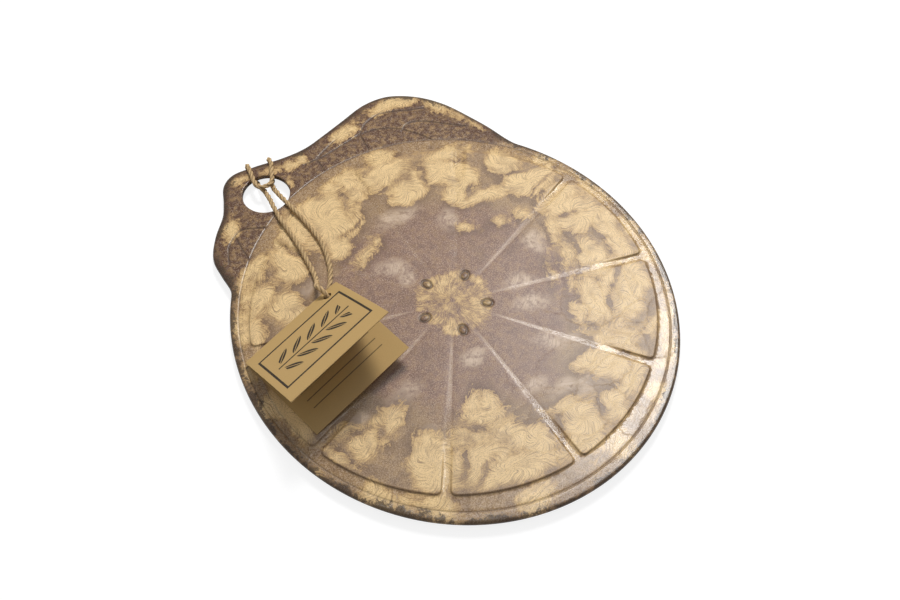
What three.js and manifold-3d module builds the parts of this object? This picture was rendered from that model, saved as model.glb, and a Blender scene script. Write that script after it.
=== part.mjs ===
// Round serving board moulded from wood-fibre composite, with a folded card tag on a loop of twine.
// Millimetres, +Z up. The origin is the middle of the ring of segments, on the underside.
// +Y points from the middle of the board to its handle.

import * as THREE from 'three';
import { mergeVertices } from 'three/addons/utils/BufferGeometryUtils.js';
import Module from 'manifold-3d';

const wasm = await Module();
wasm.setup();

// Twine
const CORD_DIAMETER = 3;
const CORD_GAP = 0.3;            // between the twine and what it lies on
const TABLE_GAP = 0.2;           // between the twine under the handle and the table
const KNOT_DIAMETER = 7.2;

// Body and handle
const BODY_HALF_LENGTH = 143.6;  // oval outline, along the handle
const BODY_HALF_WIDTH = 135.2;   // oval outline, across the handle
const PLATE_THICKNESS = 3.9;     // rim, channel and handle
const TOP_ROUND = 1.8;           // radius of the top edge
const UNDER_ROUND_WIDTH = 6;     // the lower edge is a quarter of an ellipse
const UNDER_ROUND_HEIGHT = 2.4;
const FOOT_INSET = 9;            // the foot starts this far inside the outline
const FOOT_FLANK = 5;            // and draws in by this much down to the table
const HOLE_DIAMETER = 31.5;
const HOLE_ANGLE = 111.3;        // degrees, seen from the middle of the board
const HOLE_BAR = 13.6;           // from the hole to the outline, along that angle
const HOLE_ROUND = 0.9;

// The handle stands out beyond the oval: angle in degrees and stand-out, round the handle
const HANDLE_RISE = [
  [37, 0], [41, 2.4], [46, 8.8], [52, 17.3], [58, 27.4], [63, 34.2], [68, 38.4], [72, 39.4],
  [77, 36], [83, 27.9], [89, 22.1], [95, 19.4], [101, 23], [107, 31.8], [111.5, 38.6], [115, 37.6],
  [118.5, 30], [122, 24.4], [128, 21.4], [134, 16.6], [138.5, 7.6], [142, 1], [145, 0],
];

// Raised segments, like a cut citrus fruit
const SEGMENT_COUNT = 10;
const SEGMENT_RING_RADIUS = 125;
const SEGMENT_RISE = 1.1;
const SEGMENT_EDGE = 0.5;        // bevel along the segments' outer edge
const SEGMENT_CORNER = 3;        // radius of the segments' outer corners
const SPOKE_OUTER_WIDTH = 5.2;
const SPOKE_INNER_WIDTH = 1.6;
const SPOKE_INNER_RADIUS = 27;
const SPOKE_INNER_DEPTH = 0.25;

// Seeds, each an oval bump in a shallow dish
const SEED_COUNT = 5;
const SEED_RING_RADIUS = 20.9;
const SEED_LENGTH = 6.8;
const SEED_WIDTH = 4.8;
const SEED_PROUD = 0.3;          // above the segments
const DISH_MARGIN = 1.6;         // dish beyond the seed, all round
const DISH_DEPTH = 0.8;

// Engraved lines: the rim line and the leaf lines on the handle
const RIM_INSET_LENGTH = 7.5;    // from the outline to the rim line, at the ends of the oval
const RIM_INSET_WIDTH = 5;       // and at its sides
const ENGRAVING_WIDTH = 1.3;
// Leaf lines, each as angle in degrees and stand-out beyond the oval
const LEAF_LINES = [
  [[98.1, 6.9], [92.9, 4.7], [87.1, 6.2], [81.1, 10]],
  [[94.3, 6.1], [91.4, 8.9], [87.7, 12.6]],
  [[81.1, 10], [79.5, 14.9], [77.2, 20.3], [74.3, 23.5], [70.7, 23.5], [66.9, 22.7], [63.1, 23.7]],
  [[81.1, 10], [77.3, 10.1], [73.7, 9], [69.8, 5.6]],
  [[70.1, 4.4], [68.7, 9.1], [66.5, 11.3], [62.7, 10.5], [57.6, 7.6], [52.5, 6.8]],
  [[69.6, 5], [66.5, 0.2], [62.5, -6.1]],
  [[80.8, -5.9], [81, 0.9], [81, 9.2]],
  [[95.5, -6.3], [95, -0.3], [94.8, 5.3]],
  [[134.3, 5.5], [131, 8.7], [127.9, 9.8], [124.1, 7.5], [122.1, 0], [120.6, -6.3]],
  [[126.3, 8.9], [128.6, 2.6], [131.8, -5.5]],
];

// Tag: one folded card, its left edge on the segments and its other end held up by the twine
const TAG_WIDTH = 72.6;          // along the fold
const TAG_DEPTH = 64.2;          // from the fold to the free edge
const CARD_THICKNESS = 0.5;
const FOLD_GAP = 0.15;           // from the fold's axis to each leaf's inner face
const TAG_CORNER_X = -126;       // the fold's left end
const TAG_CORNER_Y = 32;
const TAG_LIFT = 0.2;            // from the segments to the card's left edge
const TAG_TURN = 10.8;           // degrees, the fold's direction seen from above
const TAG_TILT = 8.1;            // degrees, the fold's climb towards the hole
const TAG_OPENING = 31;          // degrees between the leaves at rest
const TAG_HOLE_DIAMETER = 5.4;
const TAG_HOLE_FROM_END = 10.8;  // from the fold's upper end, along the fold
const TAG_HOLE_FROM_FOLD = 6.5;  // also the radius of the twine round the fold

// Twine routes. A place is x and y from the hang hole's centre, or y from the twine's place round the
// bar's outer edge where the entry says edge. The level runs from 0, under the bar, to 1, on the plate.
const HITCH_ROUTE = [
  [0.3, 0.15, 0.65], [0.5, 4.6, 0.53], [0.7, 9, 0.2], [0.8, 12.6, 0.01], [0.8, 17, 0],
  [0.8, -6.5, 0, 'edge'], [0.8, -1.8, 0.1, 'edge'], [0.7, 0.6, 0.5, 'edge'], [0.5, -1.3, 0.94, 'edge'],
  [-0.2, -6, 1.03, 'edge'], [-1.5, 16.4, 1], [-2.4, 11.2, 1.01], [-2.4, 7.4, 1.02],
  [-1, 4.8, 1.03], [2.6, 3.8, 1.04], [6.2, 4.4, 1.03],
  [8.6, 7, 1.02], [10.7, 11, 1.01], [12.8, 16, 1], [14.6, -6, 1.03, 'edge'],
  [15.4, -1.3, 0.94, 'edge'], [15.6, 0.6, 0.5, 'edge'], [15.4, -1.8, 0.1, 'edge'], [14.4, -6.5, 0, 'edge'],
  [11.4, 13.4, 0], [9.2, 10.2, 0.02], [7.8, 7.6, 0.22], [7, 4.6, 0.53], [6.5, 0.15, 0.65],
];
const LEFT_LEG_ON_PLATE = [[0.3, -0.15, 0.65], [-0.4, -7, 0.82], [-1.6, -14, 1], [-2.5, -22, 1]];
const LEFT_LEG_ON_SEGMENTS = [[-3, -31], [-3.1, -42], [-3.7, -54.5], [-5, -66], [-6.2, -76]];
const LEFT_LEG_RISE = [[-8.2, -83.5, 2.2], [-10.4, -89.2, 8]];      // x, y and height over the segments
const LOOP_ANGLES = [130, 105, 80, 55, 30, 5, -20];                 // degrees round the fold, from the card
const RIGHT_LEG_ON_PLATE = [[6.5, -0.15, 0.65], [6.6, -7, 0.84], [7, -13.5, 1], [7.5, -18, 1]];
const RIGHT_LEG_ON_SEGMENTS = [[8, -24.5], [9.2, -36], [9.9, -47], [9.6, -58], [7, -70], [2.6, -81.5]];

// Fineness of curves
const OUTLINE_STEP = 5;          // degrees, along the oval
const HANDLE_STEP = 2;           // degrees, along the handle
const ROUND_STEPS = 3;
const RING_SIDES = 80;
const HOLE_SIDES = 40;
const CORD_SIDES = 8;
const HITCH_STEPS = 46;
const LEFT_LEG_STEPS = 20;
const RIGHT_LEG_STEPS = 14;
const KNOT_SIDES = 14;
const SEED_SIDES = 16;
const CORNER_STEPS = 4;
const TAG_HOLE_STEPS = 10;
const GROOVE_SIDES = 4;
const LEAF_LINE_STEPS = 8;
const RIM_LINE_STEPS = 30;       // in each half of the rim line
const RIM_POINT_STEP = 15;       // degrees between the points that the rim line runs through
const OVERSHOOT = 1;             // how far cutters and joins run past a face

// Levels above the table, worked out from the sizes above
const CORD_RADIUS = CORD_DIAMETER / 2;
const PLATE_UNDERSIDE = TABLE_GAP + CORD_DIAMETER + CORD_GAP;
const PLATE_TOP = PLATE_UNDERSIDE + PLATE_THICKNESS;
const SEGMENT_TOP = PLATE_TOP + SEGMENT_RISE;
const CORD_UNDER = TABLE_GAP + CORD_RADIUS;
const CORD_ON_PLATE = PLATE_TOP + CORD_GAP + CORD_RADIUS;
const CORD_ON_SEGMENTS = SEGMENT_TOP + CORD_GAP + CORD_RADIUS;

const radians = THREE.MathUtils.degToRad;
const V3 = (x, y, z) => new THREE.Vector3(x, y, z);
const V2 = (x, y) => new THREE.Vector2(x, y);

// Solids and booleans

function toSolid(geometry) {
  const bare = geometry.clone();
  bare.deleteAttribute('normal');
  bare.deleteAttribute('uv');
  const merged = mergeVertices(bare, 1e-4);
  return new wasm.Manifold(new wasm.Mesh({
    numProp: 3,
    vertProperties: Float32Array.from(merged.attributes.position.array),
    triVerts: Uint32Array.from(merged.index.array),
  }));
}

function toGeometry(solid) {
  const mesh = solid.getMesh();
  const geometry = new THREE.BufferGeometry();
  geometry.setAttribute('position', new THREE.BufferAttribute(mesh.vertProperties, 3));
  geometry.setIndex(new THREE.BufferAttribute(mesh.triVerts, 1));
  geometry.computeVertexNormals();
  return geometry;
}

// A closed solid through rings of equal count, lowest first, each counter-clockwise from above
function loft(rings) {
  const count = rings[0].length;
  const points = rings.flat();
  const index = [];
  for (let k = 0; k + 1 < rings.length; k += 1) {
    for (let i = 0; i < count; i += 1) {
      const a = k * count + i;
      const b = k * count + (i + 1) % count;
      index.push(a, b, b + count, a, b + count, a + count);
    }
  }
  const top = (rings.length - 1) * count;
  const low = points.push(V3(0, 0, rings[0][0].z)) - 1;
  const high = points.push(V3(0, 0, rings.at(-1)[0].z)) - 1;
  for (let i = 0; i < count; i += 1) {
    const next = (i + 1) % count;
    index.push(low, next, i, high, top + i, top + next);
  }
  const geometry = new THREE.BufferGeometry().setFromPoints(points);
  geometry.setIndex(index);
  return geometry;
}

function tube(points, radius, sides, steps) {
  const section = new THREE.Shape();
  for (let i = 0; i < sides; i += 1) {
    const a = 2 * Math.PI * (i + 0.5) / sides;
    const corner = [radius * Math.cos(a), radius * Math.sin(a)];
    if (i === 0) section.moveTo(...corner);
    else section.lineTo(...corner);
  }
  const extrudePath = new THREE.CatmullRomCurve3(points, false, 'centripetal');
  return new THREE.ExtrudeGeometry(section, { steps, extrudePath });
}

// Outline of the body and handle, by angle seen from the middle

function ovalRadius(angle, halfWidth, halfLength) {
  const x = Math.cos(radians(angle)) / halfWidth;
  const y = Math.sin(radians(angle)) / halfLength;
  return 1 / Math.hypot(x, y);
}

// Smooth curve through the stand-out table: a cubic on each stretch, with slopes from its neighbours
function handleRise(angle) {
  const last = HANDLE_RISE.length - 1;
  const i = HANDLE_RISE.findLastIndex((entry) => entry[0] <= angle);
  if (i < 0 || i >= last) return 0;
  const slope = (k) => {
    if (k === 0 || k === last) return 0;
    const before = HANDLE_RISE[k - 1];
    const after = HANDLE_RISE[k + 1];
    return (after[1] - before[1]) / (after[0] - before[0]);
  };
  const [a0, h0] = HANDLE_RISE[i];
  const [a1, h1] = HANDLE_RISE[i + 1];
  const run = a1 - a0;
  const t = (angle - a0) / run;
  const bend0 = slope(i) * run - (h1 - h0);
  const bend1 = (h1 - h0) - slope(i + 1) * run;
  return h0 + t * (h1 - h0) + t * (1 - t) * (bend0 * (1 - t) + bend1 * t);
}

// A point at an angle, by its stand-out beyond the oval
function beyondOval(angle, standOut) {
  const r = ovalRadius(angle, BODY_HALF_WIDTH, BODY_HALF_LENGTH) + standOut;
  return V2(r * Math.cos(radians(angle)), r * Math.sin(radians(angle)));
}

const outlinePoint = (angle) => beyondOval(angle, handleRise(angle));

// The outline moved inwards, along its own normal
function insetPoint(angle, inset) {
  const small = 0.2;
  const along = outlinePoint(angle + small).sub(outlinePoint(angle - small)).normalize();
  return outlinePoint(angle).add(V2(-along.y, along.x).multiplyScalar(inset));
}

const outlineAngles = [];
const handleStart = HANDLE_RISE[0][0];
const handleEnd = HANDLE_RISE.at(-1)[0];
for (let a = handleStart; a < handleEnd; a += HANDLE_STEP) outlineAngles.push(a);
for (let a = handleEnd; a < handleStart + 360 - OUTLINE_STEP / 2; a += OUTLINE_STEP) {
  outlineAngles.push(a);
}

// The outline's edge at a given x, on the handle's far side
function outerEdge(x) {
  let low = handleStart;
  let high = handleEnd;
  for (let k = 0; k < 40; k += 1) {
    const middle = (low + high) / 2;
    if (outlinePoint(middle).x > x) low = middle;
    else high = middle;
  }
  return outlinePoint(low).y;
}

// Board

const holeRadius = HOLE_DIAMETER / 2;
const holeCentre = outlinePoint(HOLE_ANGLE);
holeCentre.setLength(holeCentre.length() - HOLE_BAR - holeRadius);

function plate() {
  const rings = [];
  const ring = (inset, z) => rings.push(outlineAngles.map((angle) => {
    const p = insetPoint(angle % 360, inset);
    return V3(p.x, p.y, z);
  }));
  for (let k = 0; k <= ROUND_STEPS; k += 1) {
    const a = Math.PI / 2 * k / ROUND_STEPS;
    const inset = UNDER_ROUND_WIDTH * (1 - Math.sin(a));
    ring(inset, PLATE_UNDERSIDE + UNDER_ROUND_HEIGHT * (1 - Math.cos(a)));
  }
  for (let k = ROUND_STEPS - 1; k >= 0; k -= 1) {
    const a = Math.PI / 2 * k / ROUND_STEPS;
    ring(TOP_ROUND * (1 - Math.sin(a)), PLATE_TOP - TOP_ROUND * (1 - Math.cos(a)));
  }
  return toSolid(loft(rings));
}

function ovalRing(inset, z) {
  return Array.from({ length: RING_SIDES }, (_, i) => {
    const a = 2 * Math.PI * i / RING_SIDES;
    return V3((BODY_HALF_WIDTH - inset) * Math.cos(a), (BODY_HALF_LENGTH - inset) * Math.sin(a), z);
  });
}

// The round foot that lifts the handle off the table
function foot() {
  const rings = [];
  for (let k = 0; k <= ROUND_STEPS; k += 1) {
    const a = Math.PI / 2 * k / ROUND_STEPS;
    rings.push(ovalRing(FOOT_INSET + FOOT_FLANK * (1 - Math.sin(a)), PLATE_UNDERSIDE * (1 - Math.cos(a))));
  }
  rings.push(ovalRing(FOOT_INSET, PLATE_UNDERSIDE + OVERSHOOT));
  return toSolid(loft(rings));
}

function circleRing(radius, z) {
  return Array.from({ length: RING_SIDES }, (_, i) => {
    const a = 2 * Math.PI * i / RING_SIDES;
    return V3(radius * Math.cos(a), radius * Math.sin(a), z);
  });
}

// Cutter for the groove between two segments: wide and deep at the rim, fading towards the middle
function spokeCutter() {
  const flareStart = SEGMENT_RING_RADIUS - SEGMENT_CORNER;
  const outer = SPOKE_OUTER_WIDTH / 2;
  const inner = SPOKE_INNER_WIDTH / 2;
  const end = SEGMENT_RING_RADIUS + OVERSHOOT;
  const plan = new THREE.Shape();
  plan.moveTo(SPOKE_INNER_RADIUS, -inner);
  plan.lineTo(flareStart, -outer);
  plan.absarc(flareStart, -outer - SEGMENT_CORNER, SEGMENT_CORNER, Math.PI / 2, 0, true);
  plan.lineTo(end, -outer - SEGMENT_CORNER);
  plan.lineTo(end, outer + SEGMENT_CORNER);
  plan.lineTo(SEGMENT_RING_RADIUS, outer + SEGMENT_CORNER);
  plan.absarc(flareStart, outer + SEGMENT_CORNER, SEGMENT_CORNER, 0, -Math.PI / 2, true);
  plan.lineTo(SPOKE_INNER_RADIUS, inner);
  const geometry = new THREE.ExtrudeGeometry(plan, {
    depth: 1, bevelEnabled: false, curveSegments: CORNER_STEPS,
  });
  const place = geometry.attributes.position;
  const floorOut = PLATE_TOP - SEGMENT_RISE / 2;
  const floorIn = SEGMENT_TOP - SPOKE_INNER_DEPTH;
  for (let i = 0; i < place.count; i += 1) {
    const share = (flareStart - place.getX(i)) / (flareStart - SPOKE_INNER_RADIUS);
    const floor = floorOut + Math.max(share, 0) * (floorIn - floorOut);
    place.setZ(i, place.getZ(i) > 0.5 ? SEGMENT_TOP + OVERSHOOT : floor);
  }
  return toSolid(geometry);
}

function segments() {
  let solid = toSolid(loft([
    circleRing(SEGMENT_RING_RADIUS, PLATE_TOP - OVERSHOOT),
    circleRing(SEGMENT_RING_RADIUS, SEGMENT_TOP - SEGMENT_EDGE),
    circleRing(SEGMENT_RING_RADIUS - SEGMENT_EDGE, SEGMENT_TOP),
  ]));
  const cutter = spokeCutter();
  for (let k = 0; k < SEGMENT_COUNT; k += 1) {
    const angle = 90 + 360 * k / SEGMENT_COUNT;
    solid = solid.subtract(cutter.rotate([0, 0, angle]));
  }
  return solid;
}

// An oval dome or dish, lying along the board's radius at the seed ring
function seedOval(length, width, height, level, angle) {
  const geometry = new THREE.SphereGeometry(1, SEED_SIDES, SEED_SIDES / 2).rotateX(Math.PI / 2);
  geometry.scale(length / 2, width / 2, height).translate(SEED_RING_RADIUS, 0, level);
  return toSolid(geometry.rotateZ(radians(angle)));
}

// A groove along points in plan, half sunk into the plate
function groove(points, steps) {
  const path = points.map((p) => V3(p.x, p.y, PLATE_TOP));
  return toSolid(tube(path, ENGRAVING_WIDTH / 2, GROOVE_SIDES, steps));
}

function rimLine(from, to) {
  const points = [];
  for (let a = from; a <= to; a += RIM_POINT_STEP) {
    const halfWidth = BODY_HALF_WIDTH - RIM_INSET_WIDTH;
    const r = ovalRadius(a, halfWidth, BODY_HALF_LENGTH - RIM_INSET_LENGTH);
    points.push(V2(r * Math.cos(radians(a)), r * Math.sin(radians(a))));
  }
  return groove(points, RIM_LINE_STEPS);
}

// The hang hole, flared at both faces so that its edges are round
function holeCutter() {
  const profile = [V2(0, PLATE_UNDERSIDE - OVERSHOOT)];
  const flare = holeRadius + HOLE_ROUND;
  profile.push(V2(flare, PLATE_UNDERSIDE - OVERSHOOT), V2(flare, PLATE_UNDERSIDE));
  for (let k = 1; k <= ROUND_STEPS; k += 1) {
    const a = Math.PI / 2 * k / ROUND_STEPS;
    profile.push(V2(flare - HOLE_ROUND * Math.sin(a), PLATE_UNDERSIDE + HOLE_ROUND * (1 - Math.cos(a))));
  }
  for (let k = ROUND_STEPS; k >= 1; k -= 1) {
    const a = Math.PI / 2 * k / ROUND_STEPS;
    profile.push(V2(flare - HOLE_ROUND * Math.sin(a), PLATE_TOP - HOLE_ROUND * (1 - Math.cos(a))));
  }
  profile.push(V2(flare, PLATE_TOP), V2(flare, PLATE_TOP + OVERSHOOT), V2(0, PLATE_TOP + OVERSHOOT));
  return toSolid(new THREE.LatheGeometry(profile, HOLE_SIDES).rotateX(Math.PI / 2));
}

function board() {
  let solid = plate().add(foot());
  solid = solid.subtract(rimLine(0, 180)).subtract(rimLine(180, 360));
  for (const line of LEAF_LINES) {
    const points = line.map(([angle, standOut]) => beyondOval(angle, standOut));
    solid = solid.subtract(groove(points, LEAF_LINE_STEPS));
  }
  solid = solid.add(segments());
  for (let k = 0; k < SEED_COUNT; k += 1) {
    const angle = 180 / SEED_COUNT + 360 * k / SEED_COUNT;
    const dish = [SEED_LENGTH + 2 * DISH_MARGIN, SEED_WIDTH + 2 * DISH_MARGIN, DISH_DEPTH];
    const seed = [SEED_LENGTH, SEED_WIDTH, DISH_DEPTH + SEED_PROUD];
    solid = solid.subtract(seedOval(...dish, SEGMENT_TOP, angle));
    solid = solid.add(seedOval(...seed, SEGMENT_TOP - DISH_DEPTH, angle));
  }
  return solid.subtract(holeCutter().translate([holeCentre.x, holeCentre.y, 0]));
}

// Tag, in a frame with x along the fold, y away from the card and z up from its back leaf

function leaf(bottom) {
  const outline = new THREE.Shape();
  outline.moveTo(0, -TAG_DEPTH);
  outline.lineTo(TAG_WIDTH, -TAG_DEPTH);
  outline.lineTo(TAG_WIDTH, -FOLD_GAP);
  outline.lineTo(0, -FOLD_GAP);
  const hole = new THREE.Path();
  hole.absarc(tagHoleX, -TAG_HOLE_FROM_FOLD, TAG_HOLE_DIAMETER / 2, 0, 2 * Math.PI, true);
  outline.holes.push(hole);
  const geometry = new THREE.ExtrudeGeometry(outline, {
    depth: CARD_THICKNESS, bevelEnabled: false, curveSegments: TAG_HOLE_STEPS,
  });
  return geometry.translate(0, 0, bottom);
}

const tagHoleX = TAG_WIDTH - TAG_HOLE_FROM_END;
const tag = new THREE.Group();
tag.position.set(TAG_CORNER_X, TAG_CORNER_Y, SEGMENT_TOP + TAG_LIFT + FOLD_GAP + CARD_THICKNESS);
tag.rotation.set(0, -radians(TAG_TILT), radians(TAG_TURN), 'ZYX');
tag.updateMatrix();
const frontLeafTurn = new THREE.Group();
frontLeafTurn.rotation.x = -radians(TAG_OPENING);

// Twine

const fromTag = (x, y, z) => V3(x, y, z).applyMatrix4(tag.matrix);

function besideHole([dx, dy, level, from]) {
  const x = holeCentre.x + dx;
  const edge = outerEdge(x) + CORD_GAP + CORD_RADIUS;
  const y = from === 'edge' ? edge + dy : holeCentre.y + dy;
  return V3(x, y, CORD_UNDER + level * (CORD_ON_PLATE - CORD_UNDER));
}

const onSegments = ([dx, dy, lift = 0]) => V3(
  holeCentre.x + dx, holeCentre.y + dy, CORD_ON_SEGMENTS + lift,
);

const knotRadius = KNOT_DIAMETER / 2;
const knotPlace = fromTag(tagHoleX, -TAG_HOLE_FROM_FOLD / 2, 0);
knotPlace.z = SEGMENT_TOP + CORD_GAP + knotRadius;

function leftLegRoute() {
  const loop = LOOP_ANGLES.map((angle) => fromTag(
    tagHoleX,
    -TAG_HOLE_FROM_FOLD * Math.cos(radians(angle)),
    TAG_HOLE_FROM_FOLD * Math.sin(radians(angle)),
  ));
  return [
    ...LEFT_LEG_ON_PLATE.map(besideHole), ...LEFT_LEG_ON_SEGMENTS.map(onSegments),
    ...LEFT_LEG_RISE.map(onSegments), ...loop,
  ];
}

// The right leg ends at the knot's face, on the line from its last point to the knot
function rightLegRoute() {
  const route = [...RIGHT_LEG_ON_PLATE.map(besideHole), ...RIGHT_LEG_ON_SEGMENTS.map(onSegments)];
  const reach = knotPlace.clone().sub(route.at(-1));
  reach.setLength(reach.length() - knotRadius - CORD_GAP);
  return [...route, route.at(-1).clone().add(reach)];
}

// The finished object

const boardFinish = new THREE.MeshStandardMaterial({ color: 0x9c7c52, roughness: 0.45, metalness: 0 });
const twineFinish = new THREE.MeshStandardMaterial({ color: 0x9a7a57, roughness: 0.95, metalness: 0 });
const cardFinish = new THREE.MeshStandardMaterial({ color: 0xc79f69, roughness: 0.85, metalness: 0 });

function named(name, geometry, finish) {
  const mesh = new THREE.Mesh(geometry, finish);
  mesh.name = name;
  return mesh;
}

const cord = (route, steps) => tube(route, CORD_RADIUS, CORD_SIDES, steps);
const knot = new THREE.SphereGeometry(knotRadius, KNOT_SIDES, KNOT_SIDES / 2);
knot.translate(...knotPlace.toArray());

const product = new THREE.Group();
product.add(
  named('board', toGeometry(board()), boardFinish),
  named('cord_hitch', cord(HITCH_ROUTE.map(besideHole), HITCH_STEPS), twineFinish),
  named('cord_leg_left', cord(leftLegRoute(), LEFT_LEG_STEPS), twineFinish),
  named('cord_leg_right', cord(rightLegRoute(), RIGHT_LEG_STEPS), twineFinish),
  named('cord_knot', knot, twineFinish),
  tag,
);
tag.add(named('tag_back_leaf', leaf(-FOLD_GAP - CARD_THICKNESS), cardFinish), frontLeafTurn);
frontLeafTurn.add(named('tag_front_leaf', leaf(FOLD_GAP), cardFinish));

export default product;
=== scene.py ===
"""Round serving board of moulded wood fibre, with a folded card tag on a loop of jute twine."""

import math
from functools import partial
from itertools import chain

import bpy
import numpy as np
from mathutils import Matrix, Vector, geometry


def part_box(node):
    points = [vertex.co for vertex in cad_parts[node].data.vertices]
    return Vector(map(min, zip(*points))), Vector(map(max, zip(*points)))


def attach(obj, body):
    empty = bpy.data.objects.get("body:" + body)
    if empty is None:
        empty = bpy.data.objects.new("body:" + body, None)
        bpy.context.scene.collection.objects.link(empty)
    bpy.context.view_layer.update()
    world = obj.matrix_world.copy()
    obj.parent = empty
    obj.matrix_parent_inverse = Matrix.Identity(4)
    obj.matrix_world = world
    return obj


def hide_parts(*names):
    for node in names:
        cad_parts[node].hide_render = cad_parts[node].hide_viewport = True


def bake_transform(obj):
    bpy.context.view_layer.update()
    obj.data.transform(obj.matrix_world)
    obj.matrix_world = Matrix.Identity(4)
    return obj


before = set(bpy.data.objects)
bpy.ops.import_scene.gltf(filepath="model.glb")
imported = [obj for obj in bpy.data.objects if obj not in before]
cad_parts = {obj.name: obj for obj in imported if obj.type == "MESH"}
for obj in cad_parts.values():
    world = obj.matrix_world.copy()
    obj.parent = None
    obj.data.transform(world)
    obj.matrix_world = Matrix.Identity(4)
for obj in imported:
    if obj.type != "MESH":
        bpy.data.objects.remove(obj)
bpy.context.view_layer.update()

bl_info = {
    "name": "Round serving board",
    "version": (1, 0, 0),
    "blender": (4, 5, 0),
    "location": "View3D > Sidebar > Serving board",
    "description": "Builds a moulded serving board with its twine and card tag around a packed frame",
    "category": "Object",
}

# The frame is in metres. Sizes and places below are written in millimetres and turned to metres by MM.
MM = 0.001
BOARD_LOW, BOARD_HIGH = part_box("board")

# Levels above the table, as in the solids
CORD_RADIUS = 1.5
PLATE_UNDERSIDE = 3.5
PLATE_TOP = 7.4
SEGMENT_TOP = 8.5
CORD_UNDER = 1.7
CORD_ON_PLATE = 9.2
CORD_ON_SEGMENTS = 10.3

# The handle stands out beyond the oval: angle in degrees and stand-out
HANDLE_RISE = np.array([
    [37, 0], [41, 2.4], [46, 8.8], [52, 17.3], [58, 27.4], [63, 34.2], [68, 38.4], [72, 39.4],
    [77, 36], [83, 27.9], [89, 22.1], [95, 19.4], [101, 23], [107, 31.8], [111.5, 38.6], [115, 37.6],
    [118.5, 30], [122, 24.4], [128, 21.4], [134, 16.6], [138.5, 7.6], [142, 1], [145, 0],
])
TOP_ROUND = 1.8
UNDER_ROUND = (6, 2.4)
FOOT_INSET = 9
FOOT_FLANK = 5
HOLE_ANGLE = 111.3
HOLE_BAR = 13.6
HOLE_ROUND = 0.9

# Raised segments and seeds
SEGMENT_COUNT = 10
SEGMENT_CORNER = 3
SPOKE_HALF_WIDTHS = (0.8, 2.6)
SPOKE_START = 27
SPOKE_FADE = 7
SPOKE_START_DEPTH = 0.06
SPOKE_DROP = (0.68, 1)
EDGE_ROUND = 0.4
INNER_ROUND = 1.4
HANDLE_ROUND = 1.8
SEED_COUNT = 5
SEED_RING = 20.9
SEED_HALF = (3.1, 2.2)
SEED_PROUD = 0.3
SEED_ANGLES = [180 / SEED_COUNT + 360 * k / SEED_COUNT for k in range(SEED_COUNT)]
DISH_HALF = np.array(SEED_HALF) + 1.3
DISH_DEPTH = 0.8

# Engraved lines
RIM_INSET = (5, 7.5)
LINE_HALF_WIDTH = 0.65
LINE_DEPTH = 0.5
RIM_LINE_SHARE = 0.55
LEAF_LINES = [
    [[98.1, 6.9], [92.9, 4.7], [87.1, 6.2], [81.1, 10]],
    [[94.3, 6.1], [91.4, 8.9], [87.7, 12.6]],
    [[81.1, 10], [79.5, 14.9], [77.2, 20.3], [74.3, 23.5], [70.7, 23.5], [66.9, 22.7], [63.1, 23.7]],
    [[81.1, 10], [77.3, 10.1], [73.7, 9], [69.8, 5.6]],
    [[70.1, 4.4], [68.7, 9.1], [66.5, 11.3], [62.7, 10.5], [57.6, 7.6], [52.5, 6.8]],
    [[69.6, 5], [66.5, 0.2], [62.5, -6.1]],
    [[80.8, -5.9], [81, 0.9], [81, 9.2]],
    [[95.5, -6.3], [95, -0.3], [94.8, 5.3]],
    [[134.3, 5.5], [131, 8.7], [127.9, 9.8], [124.1, 7.5], [122.1, 0], [120.6, -6.3]],
    [[126.3, 8.9], [128.6, 2.6], [131.8, -5.5]],
]

# Marbling: patches of pale fibre, each x, y, half length, half width and turn in degrees
HANDLE_PATCHES = [
    [-90, 127, 12, 4.5, 42], [-63, 161, 7, 3.5, -10], [-45, 155, 6, 2.5, 0], [-30, 154, 5, 4, 80],
    [-22, 156, 5, 4, 90], [-37, 142, 4, 3, 0], [14, 158, 13, 6.5, 8], [56, 164, 17, 6.5, -10],
    [71, 158, 7, 4, -40], [84, 143, 11, 5, -58], [91, 128, 9, 4, -65], [97, 112, 9, 3, -75],
]
UPPER_PATCHES = [
    [-35, 97, 22, 20, 90], [-20, 94, 12, 8, 60], [-38, 73, 10, 9, 90], [-53, 108, 12, 9, 80],
    [-28, 60, 9, 3.5, 25], [-14, 66, 5, 4, 60], [-70, 80, 16, 10, 80], [-63, 98, 8, 6, 40],
    [-90, 90, 12, 7, 50], [-106, 70, 18, 5, 58], [-96, 68, 8, 7, 30], [-87, 52, 11, 8, 70],
    [-113, 48, 10, 7, 60], [-10, 120, 13, 8, 5], [-4, 108, 8, 7, 0], [26, 126, 10, 8, 0],
    [18, 109, 19, 9, 0], [24, 92, 14, 12, 30], [58, 100, 19, 8, 0], [50, 93, 11, 8, 0],
    [58, 80, 13, 11, 90], [47, 68, 8, 8, 0], [58, 59, 14, 6, -15], [92, 74, 13, 11, 60],
    [96, 52, 17, 10, -10], [104, 30, 14, 7, 10], [104, 12, 15, 12, 0], [85, 11, 8, 3, 70],
    [60, 35, 8, 3.5, -10], [75, 32, 5, 4, 0], [38, 45, 6, 4, -20],
]
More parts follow.
